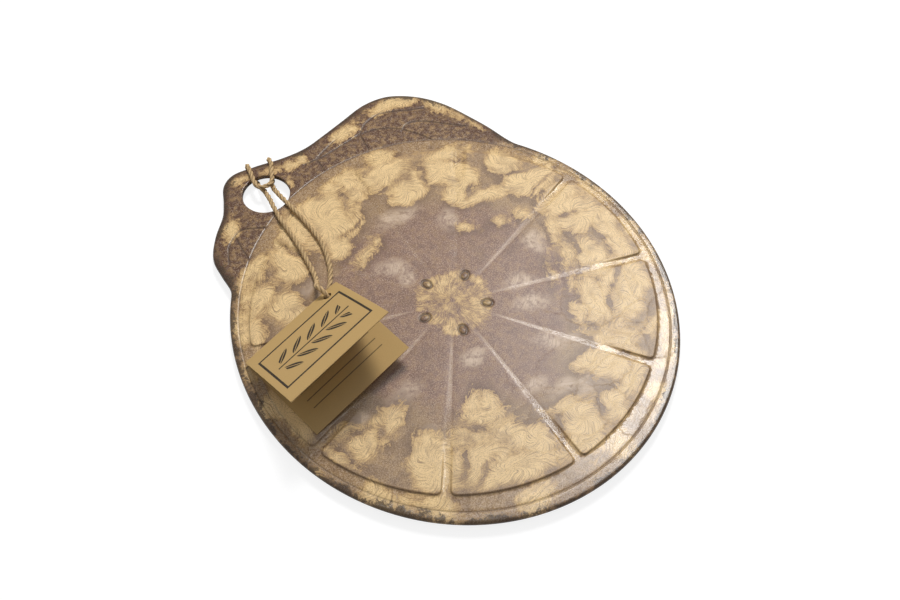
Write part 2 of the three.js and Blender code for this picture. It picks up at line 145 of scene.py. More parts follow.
LOWER_PATCHES = [
    [117, -6, 12, 6, 90], [92, -17, 11, 8, 90], [66, -12, 9, 2, 65], [74, -16, 9, 2.2, 62],
    [82, -6, 7, 2.2, 70], [112, -24, 9, 6, 60], [95, -32, 13, 4, -8], [73, -46, 13, 7, 80],
    [61, -47, 6, 4.5, 70], [66, -57, 5, 4, 0], [90, -50, 16, 12, 50], [104, -50, 12, 10, 60],
    [88, -66, 8, 7, 70], [58, -68, 8, 3, -60], [66, -76, 8, 3.5, -50], [78, -74, 8, 3, -20],
    [72, -86, 6, 5, 50], [90, -81, 10, 5, 40], [46, -80, 12, 6, -10], [52, -90, 10, 7, -20],
    [16, -106, 12, 10, 90], [36, -110, 8, 8, 30], [56, -104, 10, 5, 25], [6, -118, 12, 6, 0],
    [14, -95, 8, 3, -20], [-30, -64, 9, 5, 25], [-22, -69, 8, 6, 70], [-35, -71, 9, 4, -25],
    [-25, -77, 7, 3, -10], [-43, -78, 12, 4, -15], [-36, -83, 10, 2, -5], [-50, -95, 19, 9, 0],
    [-22, -92, 9, 7, -20], [-36, -110, 24, 8, -12], [-12, -104, 9, 7, 90], [-70, -82, 17, 12, 75],
    [-93, -52, 9, 6, -10], [-76, -46, 14, 7, 25], [-100, -40, 8, 5, -50], [-113, -52, 12, 5, -65],
    [-120, -10, 22, 7, 90],
]
HAZY_PATCHES = np.array([
    [68, 8, 12, 10, 80], [40, -27, 17, 7, -18], [42, -10, 14, 7, -15], [34, -56, 16, 8, -32],
    [-18, 42, 15, 9, -50], [33, 55, 11, 8, 60], [-13, -39, 11, 7, 0], [8, -74, 11, 6, 10],
    [-60, -66, 10, 6, -20], [-62, -38, 18, 9, 10], [-90, -36, 10, 6, 0], [38, -90, 18, 8, 0],
    [8, 76, 20, 9, 0], [-70, 58, 12, 6, 20], [20, -84, 12, 7, 0], [-15, 30, 8, 8, 0],
    [48, -60, 8, 6, 0],
])
CRACKS = np.array([
    [10, 99, 11, 1.8, 3], [65, 93, 8, 1.3, -32], [57, 65.5, 6, 1.3, 38], [-52, 72, 9, 3.5, 85],
    [7, 95, 5, 4, 0], [-55, -92, 6, 1.2, 50], [-38, -75, 6, 1.8, -50], [101, 15, 8, 1.1, -10],
    [87, -9, 6, 1.8, 60], [-20, 84.5, 7, 1.4, 22], [79, -56, 7, 1.5, 60], [-92, -43, 8, 1.5, -10],
    [97, 62, 12, 1.2, -12], [39, 96, 9, 1.6, 88], [100, 44, 14, 1, 22], [-84, -50, 5, 1.4, 60],
    [-16, 104, 9, 2, 80], [-64, 92, 9, 1.4, 110], [98, -40, 9, 1, 30], [-48, -103, 9, 1.5, 25],
    [27, -110, 9, 1.6, 70], [90, -72, 12, 3, 5], [78, -85, 6, 3, 60], [0, 0, 2, 2, 0],
])
STAR_RADIUS = 22
STAR_FAINT = 0.5
PATCH_JOIN = 1.6
# Random shifts of the patches: reach, size of the waves and the seeds of both directions
PATCH_SHIFTS = ((2.2, 11, 1, 3), (1.1, 4.5, 2, 4))
FIBRE_CURL = 1.2
HAZE_GAIN = 1.6
# Paler towards the rim from the first radius to the second, and on the rim in waves
OUTER_PALE = (72, 96)
OUTER_GAIN = 1.6
RIM_PALE = 0.4
RIM_WAVE = (6, 13)
# Ground from mauve to khaki, painted sheen on the spokes that fades and painted shade with dirt in the
# creases that starts, each from one radius to another
TONE_RADII = (60, 92)
SPOKE_SHEEN_RADII = (60, 85)
CREASE_SHADE_RADII = (102, 122)
CREASE_SHADE_WIDTH = 0.28
ENGRAVED_WIDTH = 0.5
WORN_REACH = 4.4

# Tag, in a frame with x along the fold, y away from the card and z up from its back leaf
FOLD_GAP = 0.15
TAG_CORNER = (-126, 32)
TAG_LIFT = 0.2
TAG_TURN = 10.8
TAG_TILT = 8.1
TAG_OPENING = 31
TAG_HOLE_RADIUS = 2.7
TAG_HOLE_SIDES = 28
TAG_HOLE_FROM_END = 10.8
TAG_HOLE_FROM_FOLD = 6.5
FRONT_BOW = 0.9
BACK_BOW = 0.35
KRAFT_DARK = 0.55

# Print on the tag
LEAF_PITCH = 11
LEAF_OUT = 7.2
LEAF_CENTRE = 4
LEAF_RADIUS = 6.6
PRINT_REACH = 27
FRAME_HALF = (31.5, 20)
RULE_PITCH = 6

# Twine routes from the hang hole's centre, with the level from 0, under the bar, to 1, on the plate
HITCH_ROUTE = [
    [0.3, 0.15, 0.65], [0.5, 4.6, 0.53], [0.7, 9, 0.2], [0.8, 12.6, 0.01], [0.8, 17, 0],
    [0.8, -6.5, 0, "edge"], [0.8, -1.8, 0.1, "edge"], [0.7, 0.6, 0.5, "edge"],
    [0.5, -1.3, 0.94, "edge"], [-0.2, -6, 1.03, "edge"], [-1.5, 16.4, 1], [-2.4, 11.2, 1.01],
    [-2.4, 7.4, 1.02], [-1, 4.8, 1.03], [2.6, 3.8, 1.04], [6.2, 4.4, 1.03], [8.6, 7, 1.02],
    [10.7, 11, 1.01], [12.8, 16, 1], [14.6, -6, 1.03, "edge"], [15.4, -1.3, 0.94, "edge"],
    [15.6, 0.6, 0.5, "edge"], [15.4, -1.8, 0.1, "edge"], [14.4, -6.5, 0, "edge"], [11.4, 13.4, 0],
    [9.2, 10.2, 0.02], [7.8, 7.6, 0.22], [7, 4.6, 0.53], [6.5, 0.15, 0.65],
]
LEFT_LEG_ON_PLATE = [[0.3, -0.15, 0.65], [-0.4, -7, 0.82], [-1.6, -14, 1], [-2.5, -22, 1]]
LEFT_LEG_ON_SEGMENTS = [[-3, -31], [-3.1, -42], [-3.7, -54.5], [-5, -66], [-6.2, -76]]
LEFT_LEG_RISE = [[-8.2, -83.5, 2.2], [-10.4, -89.2, 8]]
LOOP_ANGLES = [130, 105, 80, 55, 30, 5, -20]
RIGHT_LEG_ON_PLATE = [[6.5, -0.15, 0.65], [6.6, -7, 0.84], [7, -13.5, 1], [7.5, -18, 1]]
RIGHT_LEG_ON_SEGMENTS = [[8, -24.5], [9.2, -36], [9.9, -47], [9.6, -58], [7, -70], [2.6, -81.5]]
CORD_GAP = 0.3
KNOT_RADIUS = 3.6
KNOT_SIZE = 0.8
KNOT_TWINE_RADIUS = 1.2
KNOT_LAY = 0.7
HAIRS_PER_MM = 1.5
KNOT_HAIRS_PER_MM = 0.5
HAIR_REACH = 3.0
HAIR_HALF_WIDTH = 0.055
HAIR_RINGS = 5
HAIR_LOWEST = 0.12
PLY_SPREAD = 1.09
JUTE_LIGHT = 1.5

# Fineness of the surfaces, in millimetres between points
PLAN_STEP = 1.25
FEATURE_STEP = 0.8
RING_STEP = 1.1
UNDER_STEP = 4
CARD_STEP = 1.6
TWINE_STEP = 0.4
TWINE_SIDES = 24
ROUND_STEPS = 6
HOLE_SIDES = 96
BASE_RINGS = 24
EDGE_GAP = 0.8
CLEAR = 0.3
FAR = 99.0

# Studio floor, just clear of the foot so that the two faces don't fight, and how the camera sees it
FLOOR_REACH = 4000
FLOOR_GAP = 0.1
FLOOR_SEEN = 0.24
FLOOR_GLOW = 0.82

# Lamps and sky: places right of, beyond and above the board as the camera sees it, in metres
KEY_PLACE = (0.05, 0.8, 1.1)
KEY_SIZE = 0.35
SHEEN_PLACE = (0.36, 0.5, 1)
SHEEN_SIZE = 0.4
SKY_LEAN = (0, 0.3, 0.95)
SKY_START = -0.1
SKY_GLOW = (0.22, 0.5)

# Camera: sensor, and its shift to the right and up in the picture
SENSOR_WIDTH = 36
CAMERA_SHIFT = (-2.1, 0.95)


def linear(colour):
    """An sRGB hex colour as linear red, green and blue: a straight foot, then the power 2.4."""
    channels = np.array([int(colour[i:i + 2], 16) for i in (1, 3, 5)]) / 255
    return tuple(np.where(channels <= 0.04045, channels / 12.92, ((channels + 0.055) / 1.055) ** 2.4))


def size_setting(name, description, default):
    """A length that a user can change, in metres."""
    return bpy.props.FloatProperty(
        name=name, description=description, default=default, min=0, unit="LENGTH", precision=5)


def colour_setting(name, description, default):
    """A colour that a user can change, given as sRGB hex."""
    return bpy.props.FloatVectorProperty(
        name=name, description=description, default=linear(default), min=0, max=1, size=3,
        subtype="COLOR")


class BoardSettings(bpy.types.PropertyGroup):
    """Sizes and colours of the moulded board"""
    half_width: size_setting("Half width", "Half the body's width, across the handle", BOARD_HIGH.x)
    half_length: size_setting("Half length", "Half the body's length, along the handle", -BOARD_LOW.y)
    hole_diameter: size_setting("Hang hole", "Diameter of the hang hole", 31.5 * MM)
    segment_radius: size_setting("Segment ring", "Radius of the ring of raised segments", 125 * MM)
    pale: colour_setting("Pale fibre", "Pale patches of the marbling", "#BC9A67")
    paler: colour_setting("Palest fibre", "Middle of the pale patches", "#E0C18C")
    mauve: colour_setting("Mauve ground", "Ground in the middle of the board", "#806151")
    khaki: colour_setting("Khaki ground", "Ground between the outer patches", "#957957")
    brown: colour_setting("Brown ground", "Ground on the handle", "#573D2E")
    # Also the colour of the painted sheen on the spokes
    bloom_and_sheen: colour_setting("Bloom", "Hazy light places in the ground", "#C4AD96")
    # Also the colour of the painted shade on the sides, underside and hole wall, and in the creases,
    # engraved lines and seed hollows
    wear_and_shade: colour_setting("Worn edge", "Dark edge round the board", "#3A2B20")


class TwineSettings(bpy.types.PropertyGroup):
    """Sizes and colours of the twine"""
    diameter: size_setting("Diameter", "Thickness of the twine", 2 * CORD_RADIUS * MM)
    lay: size_setting("Lay", "Length of one full twist of a ply", 13 * MM)
    jute: colour_setting("Jute", "Colour of the fibres", "#B0966F")
    # Colour of the painted shade in the clefts between the plies
    shade: colour_setting("Jute shade", "Darker fibres between the plies", "#5E4632")


class TagSettings(bpy.types.PropertyGroup):
    """Sizes and colours of the folded card"""
    width: size_setting("Width", "Length of the fold", 72.6 * MM)
    depth: size_setting("Depth", "From the fold to a free edge", 64.2 * MM)
    thickness: size_setting("Thickness", "Thickness of the card", 0.5 * MM)
    kraft: colour_setting("Kraft", "Colour of the card", "#B39460")
    ink: colour_setting("Ink", "Colour of the print", "#1D1B1E")


class StageSettings(bpy.types.PropertyGroup):
    """Camera, light and floor"""
    distance: size_setting("Camera distance", "From the camera to the middle of the board", 583.6 * MM)
    azimuth: bpy.props.FloatProperty(
        name="Azimuth", description="Camera's turn round the board", default=math.radians(-34),
        subtype="ANGLE")
    elevation: bpy.props.FloatProperty(
        name="Elevation", description="Camera's height over the horizon", default=math.radians(57.24),
        subtype="ANGLE")
    lens: bpy.props.FloatProperty(
        name="Lens", description="Focal length on a 36 mm sensor", default=37.94, min=1, unit="CAMERA")
    key_power: bpy.props.FloatProperty(
        name="Key light", description="Power of the main soft box", default=15.5, min=0, unit="POWER")
    sheen_power: bpy.props.FloatProperty(
        name="Sheen", description="Power of the soft box that only gloss shows", default=10.5, min=0,
        unit="POWER")
    floor: colour_setting("Floor", "Colour of the studio floor", "#F8F8F8")


# Mesh and node helpers


def triangles_of(quads):
    """Each quad a, b, c, d as the triangles a, b, c and a, c, d."""
    quads = np.asarray(quads)
    return np.concatenate([quads[:, [0, 1, 2]], quads[:, [0, 2, 3]]])


def strip(lower, upper):
    """Quads between two closed rings of equal count, given as indices."""
    return np.stack([lower, np.roll(lower, -1), np.roll(upper, -1), upper], axis=1)


def walls_of(rings):
    """Triangles between each ring and the next, given as rows of indices."""
    return np.vstack([triangles_of(strip(lower, upper)) for lower, upper in zip(rings[:-1], rings[1:])])


def new_piece(name, points, triangles, material, attributes):
    """A smooth mesh object at the origin from points in millimetres, with its attributes."""
    mesh = bpy.data.meshes.new(name)
    points = np.asarray(points) * MM
    mesh.vertices.add(len(points))
    mesh.vertices.foreach_set("co", points.astype(np.float32).ravel())
    mesh.loops.add(3 * len(triangles))
    mesh.loops.foreach_set("vertex_index", np.asarray(triangles, np.int32).ravel())
    mesh.polygons.add(len(triangles))
    mesh.polygons.foreach_set("loop_start", np.arange(0, 3 * len(triangles), 3, dtype=np.int32))
    mesh.polygons.foreach_set("use_smooth", np.ones(len(triangles), bool))
    mesh.update(calc_edges=True)
    if mesh.validate():
        raise RuntimeError(f"{name} has bad faces")
    for key, values in attributes.items():
        vector = np.ndim(values) == 2
        layer = mesh.attributes.new(key, "FLOAT_VECTOR" if vector else "FLOAT", "POINT")
        layer.data.foreach_set("vector" if vector else "value", np.asarray(values, np.float32).ravel())
    piece = bpy.data.objects.new(name, mesh)
    bpy.context.scene.collection.objects.link(piece)
    mesh.materials.append(material)
    return piece


def node_maker(owner):
    """The node function for a material's or world's own tree, which is emptied first."""
    owner.use_nodes = True
    owner.node_tree.nodes.clear()
    return partial(add, owner.node_tree)


def add(tree, kind, *values, inputs=None, output=0, **settings):
    """A shader node with its settings. The values go to its first inputs in order and the others to the
    inputs that they name, each set or linked. Gives one output of the node, where it has any."""
    made = tree.nodes.new("ShaderNode" + kind)
    for key, setting in settings.items():
        setattr(made, key, setting)
    for socket, value in {**dict(enumerate(values)), **(inputs or {})}.items():
        if isinstance(value, bpy.types.NodeSocket):
            tree.links.new(value, made.inputs[socket])
        else:
            made.inputs[socket].default_value = value
    return made.outputs[output] if made.outputs else None


def opaque(colour):
    """A colour setting with full alpha."""
    return (*colour, 1)


# Board: plan and heights, all in millimetres


def handle_rise(angle):
    """Stand-out of the handle: a cubic on each stretch of its table, sloped by the neighbours."""
    at, rise = HANDLE_RISE.T
    slope = np.zeros(len(at))
    slope[1:-1] = (rise[2:] - rise[:-2]) / (at[2:] - at[:-2])
    angle = np.mod(angle, 360)
    i = np.clip(np.searchsorted(at, angle, side="right") - 1, 0, len(at) - 2)
    run = at[i + 1] - at[i]
    step = rise[i + 1] - rise[i]
    t = (angle - at[i]) / run
    bend = (slope[i] * run - step) * (1 - t) + (step - slope[i + 1] * run) * t
    on_handle = (angle > at[0]) & (angle < at[-1])
    return np.where(on_handle, rise[i] + t * step + t * (1 - t) * bend, 0)


def angle_of(x, y):
    """Angle of each point round the middle, in degrees."""
    return np.degrees(np.arctan2(y, x))


def handle_share(x, y):
    """How far the handle stands out at each point's angle, from 0 to 1."""
    return ease(handle_rise(angle_of(x, y)), 1, 8)


def polar(radius, angle):
    """Points at a radius and an angle in degrees."""
    turn = np.radians(angle)
    return np.stack([radius * np.cos(turn), radius * np.sin(turn)], axis=-1)


def ease(value, low, high):
    """Smooth step from 0 at low to 1 at high: 3t² - 2t³."""
    t = np.clip((value - low) / (high - low), 0, 1)
    return t * t * (3 - 2 * t)


def resampled(points, step, closed=False):
    """The same line with points about one step apart."""
    line = np.vstack([points, points[:1]]) if closed else np.asarray(points, float)
    along = np.concatenate([[0], np.cumsum(np.linalg.norm(np.diff(line, axis=0), axis=1))])
    count = max(2, round(along[-1] / step))
    at = np.linspace(0, along[-1], count + 1)[:-1 if closed else None]
    return np.stack([np.interp(at, along, line[:, k]) for k in range(line.shape[1])], axis=1)


def spline(points, fine=24):
    """Centripetal Catmull-Rom curve through the points: knots grow by the square root of each chord."""
    p = np.asarray(points, float)
    p = np.vstack([2 * p[0] - p[1], p, 2 * p[-1] - p[-2]])
    t = np.linspace(0, 1, fine, endpoint=False)[:, None]
    stretches = []
    for a, b, c, d in zip(p[:-3], p[1:-2], p[2:-1], p[3:]):
        k = np.sqrt([np.linalg.norm(b - a), np.linalg.norm(c - b), np.linalg.norm(d - c)])
        start = ((b - a) / k[0] - (c - a) / (k[0] + k[1]) + (c - b) / k[1]) * k[1]
        end = ((c - b) / k[1] - (d - b) / (k[1] + k[2]) + (d - c) / k[2]) * k[1]
        cubic = 2 * b - 2 * c + start + end
        square = -3 * b + 3 * c - 2 * start - end
        stretches.append(b + start * t + square * t ** 2 + cubic * t ** 3)
    return np.vstack([*stretches, p[-2:-1]])


def offset(line, distance, closed=False):
    """A line in plan moved to its left by a distance."""
    ahead = np.roll(line, -1, axis=0) - np.roll(line, 1, axis=0)
    if not closed:
        ahead[0] = line[1] - line[0]
        ahead[-1] = line[-1] - line[-2]
    ahead /= np.linalg.norm(ahead, axis=1, keepdims=True)
    return line + distance * np.stack([-ahead[:, 1], ahead[:, 0]], axis=1)


def distance_to(points, line, chunk=4000):
    """Distance from each point to the nearest point of a line."""
    parts = np.split(points, range(chunk, len(points), chunk))
    return np.concatenate([
        np.sqrt(((part[:, None] - line[None]) ** 2).sum(-1).min(1)) for part in parts])


def value_noise(x, y, cell, seed):
    """Smooth random field from -1 to 1: random heights on a lattice, eased between its corners."""
    side = 64
    lattice = np.random.default_rng(seed).uniform(-1, 1, (side, side))
    i = np.floor(x / cell).astype(int)
    j = np.floor(y / cell).astype(int)
    s = ease(x / cell - i, 0, 1)
    t = ease(y / cell - j, 0, 1)
    low = lattice[i % side, j % side] * (1 - s) + lattice[(i + 1) % side, j % side] * s
    high = lattice[i % side, (j + 1) % side] * (1 - s) + lattice[(i + 1) % side, (j + 1) % side] * s
    return low * (1 - t) + high * t


def bell(distance, reach):
    """Bell curve over a distance: the exponential of minus the square of its share of the reach."""
    return np.exp(-(distance / reach) ** 2)


class BoardPlan:
    """The board's outline, hole and engraved lines in plan, from its settings"""

    def __init__(self, settings):
        self.half_width = settings.half_width / MM
        self.half_length = settings.half_length / MM
        self.segment_radius = settings.segment_radius / MM
        self.hole_radius = settings.hole_diameter / 2 / MM
        reach = self.outline_radius(HOLE_ANGLE) - HOLE_BAR - self.hole_radius
        self.hole = polar(reach, HOLE_ANGLE)
        self.outline = resampled(polar_ring(self.outline_radius), RING_STEP, closed=True)
        self.leaf_lines = []
        for line in LEAF_LINES:
            angle, stand_out = np.array(line).T
            route = polar(self.body_radius(angle) + stand_out, angle)
            self.leaf_lines.append(resampled(spline(route), FEATURE_STEP * 0.8))

    def body_radius(self, angle, inset=(0, 0)):
        """Radius of the oval body at an angle in degrees, drawn in by an inset across and along: one
        over the length of (cos / half width, sin / half length)."""
        turn = np.radians(angle)
        half_width, half_length = self.half_width - inset[0], self.half_length - inset[1]
        return 1 / np.hypot(np.cos(turn) / half_width, np.sin(turn) / half_length)

    def outline_radius(self, angle):
        """Radius of the body with its handle."""
        return self.body_radius(angle) + handle_rise(angle)

    def oval(self, inset):
        """The body's oval drawn in by an inset, as a closed line."""
        return resampled(polar_ring(partial(self.body_radius, inset=inset)), RING_STEP, closed=True)

    def hole_ring(self, radius):
        """A closed line round the hang hole's centre."""
        return self.hole + polar(radius, np.linspace(0, 360, HOLE_SIDES, endpoint=False))

    def outer_edge(self, x):
        """Highest y of the outline at a given x."""
        far = self.outline[self.outline[:, 1] > self.half_length / 2]
        order = np.argsort(far[:, 0])
        return np.interp(x, far[order, 0], far[order, 1])


def polar_ring(radius):
    """A closed line all round, from a radius given by the angle."""
    angle = np.arange(0, 360, 0.1)
    return polar(radius(angle), angle)


def segment_outline(plan):
    """Half of a segment's border from the middle of the board outwards: along its spoke, round its
    corner and along the ring, as (along the spoke, off the spoke) in plan."""
    inner, outer = SPOKE_HALF_WIDTHS
    reach = plan.segment_radius
    turn = np.radians(np.linspace(0, 90, 7))
    centre = np.array([reach - SEGMENT_CORNER, outer + SEGMENT_CORNER])
    corner = centre + SEGMENT_CORNER * np.stack([np.sin(turn), -np.cos(turn)], axis=1)
    edge = np.array([[SPOKE_START, inner]])
    start = np.degrees(np.arctan2(corner[-1, 1], corner[-1, 0]))
    arc = polar(reach, np.linspace(start + 0.1, 180 / SEGMENT_COUNT, 40))
    return resampled(np.vstack([edge, corner, arc]), FEATURE_STEP)


def turned(points, angle):
    """Points in plan turned about the middle by an angle in degrees."""
    c, s = math.cos(math.radians(angle)), math.sin(math.radians(angle))
    return points @ np.array([[c, s], [-s, c]])


def segment_rows(plan):
    """Points in plan beside the border of every segment, in rows that hold its rounded edge."""
    half = segment_outline(plan)
    rows = [offset(half, distance) for distance in (-0.4, 0, 0.4, 0.9)]
    both = [row * side for row in rows for side in ([1, 1], [1, -1])]
    spokes = [90 + 360 * k / SEGMENT_COUNT for k in range(SEGMENT_COUNT)]
    return np.vstack([turned(row, angle) for angle in spokes for row in both])


def seed_rows():
    """Points in plan on ovals round each seed, from its top to beyond its dish."""
    sizes = [np.array(SEED_HALF) * k for k in (0.2, 0.45, 0.7, 0.88, 1)]
    sizes += [DISH_HALF * k for k in (0.84, 0.94, 1, 1.12)]
    rows = []
    for half in sizes:
        turn = np.linspace(0, 2 * np.pi, max(8, round(half[0] * 8)), endpoint=False)
        rows.append(np.stack([SEED_RING + half[0] * np.cos(turn), half[1] * np.sin(turn)], axis=1))
    return np.vstack([turned(row, angle) for angle in SEED_ANGLES for row in rows])


def seed_places(points):
    """Place of every point beside each seed, along and across it, one row for each seed."""
    return np.stack([turned(points, -angle) - [SEED_RING, 0] for angle in SEED_ANGLES])


def line_rows(line, closed=False):
    """Points in plan beside an engraved line, in rows that hold its groove."""
    steps = (-1.4, -0.9, -0.5, 0, 0.5, 0.9, 1.4)
    return np.vstack([offset(line, k * LINE_HALF_WIDTH, closed) for k in steps])


def spoke_frame(x, y):
    """Place of each point beside its nearest spoke: distance along it and off it."""
    pitch = 360 / SEGMENT_COUNT
    away = np.mod(angle_of(x, y) - 90 + pitch / 2, pitch) - pitch / 2
    r = np.hypot(x, y)
    return r * np.cos(np.radians(away)), np.abs(r * np.sin(np.radians(away)))


def segment_depth(plan, x, y):
    """Distance of each point inside the border of its segment, with round corners. Also gives the
    distance inside the ring and the share of the way along the spoke."""
    along, off = spoke_frame(x, y)
    inner, outer = SPOKE_HALF_WIDTHS
    corner_start = plan.segment_radius - SEGMENT_CORNER
    share = (along - SPOKE_START) / (corner_start - SPOKE_START)
    half = inner + (outer - inner) * np.clip(share, 0, 1)
    half = half * ease(along, SPOKE_START - SPOKE_FADE, SPOKE_START)
    from_spoke = np.where(along < SPOKE_START - SPOKE_FADE, SEGMENT_CORNER, off - half)
    from_ring = plan.segment_radius - np.hypot(x, y)
    corner = SEGMENT_CORNER - np.hypot(SEGMENT_CORNER - from_spoke, SEGMENT_CORNER - from_ring)
    rounded = (from_spoke < SEGMENT_CORNER) & (from_ring < SEGMENT_CORNER)
    return np.where(rounded, corner, np.minimum(from_spoke, from_ring)), from_ring, share


def handle_side(x, y):
    """How far a point lies towards the handle, from 0 to 1. The segments' edges are rounder there."""
    return ease(y / np.maximum(np.hypot(x, y), 1e-6), 0.35, 0.75)


def groove_depth(plan, points):
    """Depth of the engraved lines: a parabola across the line's width, the deepest line where two meet.
    Also gives the distances from the rim line and from the leaf lines."""
    x, y = points.T
    radius = np.hypot(x, y)
    from_rim = np.abs(radius - plan.body_radius(angle_of(x, y), RIM_INSET))
    near = radius > plan.segment_radius + 0.5
    from_leaf = np.full(len(x), FAR)
    from_leaf[near] = distance_to(points[near], np.vstack(plan.leaf_lines))
    leaf, rim = [np.clip(1 - (away / LINE_HALF_WIDTH) ** 2, 0, 1) for away in (from_leaf, from_rim)]
    return LINE_DEPTH * np.maximum(leaf, RIM_LINE_SHARE * rim), from_rim, from_leaf


def seed_height(points):
    """Height of the seeds and their dishes over the segments: half ellipsoids, each seed in its dish."""
    places = seed_places(points)
    seed, dish = [np.linalg.norm(places / half, axis=-1) for half in (SEED_HALF, DISH_HALF)]
    hollow = -DISH_DEPTH * np.sqrt(np.clip(1 - dish ** 2, 0, 1))
    bump = -DISH_DEPTH + (DISH_DEPTH + SEED_PROUD) * np.sqrt(np.clip(1 - seed ** 2, 0, 1))
    return np.where(seed < 1, np.maximum(hollow, bump), hollow).sum(0)


def top_height(plan, points):
    """Height of the upper face: the plate, the segments that ease up over their rounded edge, the
    spokes' floors that climb towards the middle, the seeds and the engraved lines. Also gives the
    distances inside the segments and from the engraved lines."""
    x, y = points.T
    depth, from_ring, share = segment_depth(plan, x, y)
    low = PLATE_TOP - (SEGMENT_TOP - PLATE_TOP) / 2
    drop = SPOKE_START_DEPTH + (SEGMENT_TOP - SPOKE_START_DEPTH - low) * ease(share, *SPOKE_DROP)
    floor = np.where(from_ring > 0, np.maximum(SEGMENT_TOP - drop, PLATE_TOP), PLATE_TOP)
    round_to = EDGE_ROUND + INNER_ROUND * (1 - np.clip(share, 0, 1)) + HANDLE_ROUND * handle_side(x, y)
    level = floor + (SEGMENT_TOP - floor) * ease(depth, -EDGE_ROUND, round_to)
    grooves, from_rim, from_leaf = groove_depth(plan, points)
    height = level + seed_height(points) - np.where(from_ring < -0.6, grooves, 0)
    return height, depth, from_rim, from_leaf


def plan_points(plan, step, clear_of):
    """A hexagonal grid of points over the board's box, without those near the points to clear."""
    reach = max(plan.half_width, plan.half_length) * 1.3
    rows = np.arange(-reach, reach, step * math.sqrt(3) / 2)
    grid_x, grid_y = np.meshgrid(np.arange(-reach, reach, step), rows)
    grid_x[1::2] += step / 2
    points = np.stack([grid_x.ravel(), grid_y.ravel()], axis=1)
    cell = step * 0.36
    taken = np.zeros((int(2 * reach / cell) + 8,) * 2, bool)
    i, j = ((clear_of + reach) / cell).astype(int).T + 3
    for di in (-1, 0, 1):
        for dj in (-1, 0, 1):
            taken[i + di, j + dj] = True
    a, b = ((points + reach) / cell).astype(int).T + 3
    return points[~taken[a, b]]


def inside(points, ring):
    """Whether each point lies in a closed ring, by counting the sides that a ray crosses."""
    x, y = points[:, :1], points[:, 1:]
    x0, y0 = ring.T
    x1, y1 = np.roll(ring, -1, axis=0).T
    crosses = (y0 > y) != (y1 > y)
    rise = np.where(y1 == y0, 1, y1 - y0)
    return (crosses & (x < (x1 - x0) * (y - y0) / rise + x0)).sum(1) % 2 == 1


def triangulated(rings, loose, holes):
    """Delaunay triangles over rings and loose points in plan, inside the first ring and outside the
    holes. Gives the points, the triangles and each ring's indices."""
    points = np.vstack([*rings, loose])
    starts = np.cumsum([0] + [len(ring) for ring in rings])
    indices = [np.arange(a, b) for a, b in zip(starts[:-1], starts[1:])]
    edges = np.vstack([np.stack([ring, np.roll(ring, -1)], axis=1) for ring in indices])
    placed, _, triangles, origins = geometry.delaunay_2d_cdt(
        points.tolist(), edges.tolist(), [], 0, 1e-5, True)[:4]
    placed, triangles = np.array(placed), np.array(triangles)
    where = np.zeros(len(points), int)
    counts = np.fromiter(map(len, origins), int)
    where[np.fromiter(chain.from_iterable(origins), int)] = np.repeat(np.arange(len(origins)), counts)
    corners = placed[triangles]
    edge = corners[:, 1:] - corners[:, :1]
    turn = edge[:, 0, 0] * edge[:, 1, 1] - edge[:, 0, 1] * edge[:, 1, 0]
    triangles[turn < 0] = triangles[turn < 0][:, ::-1]
    keep = np.abs(turn) > 1e-7
    on_ring = np.isin(triangles, where[indices[0]]).all(1)
    keep[on_ring] &= inside(corners.mean(1)[on_ring], rings[0])
    for hole in holes:
        keep &= ~np.isin(triangles, where[indices[hole]]).all(1)
    return placed, triangles[keep], [where[ring] for ring in indices]


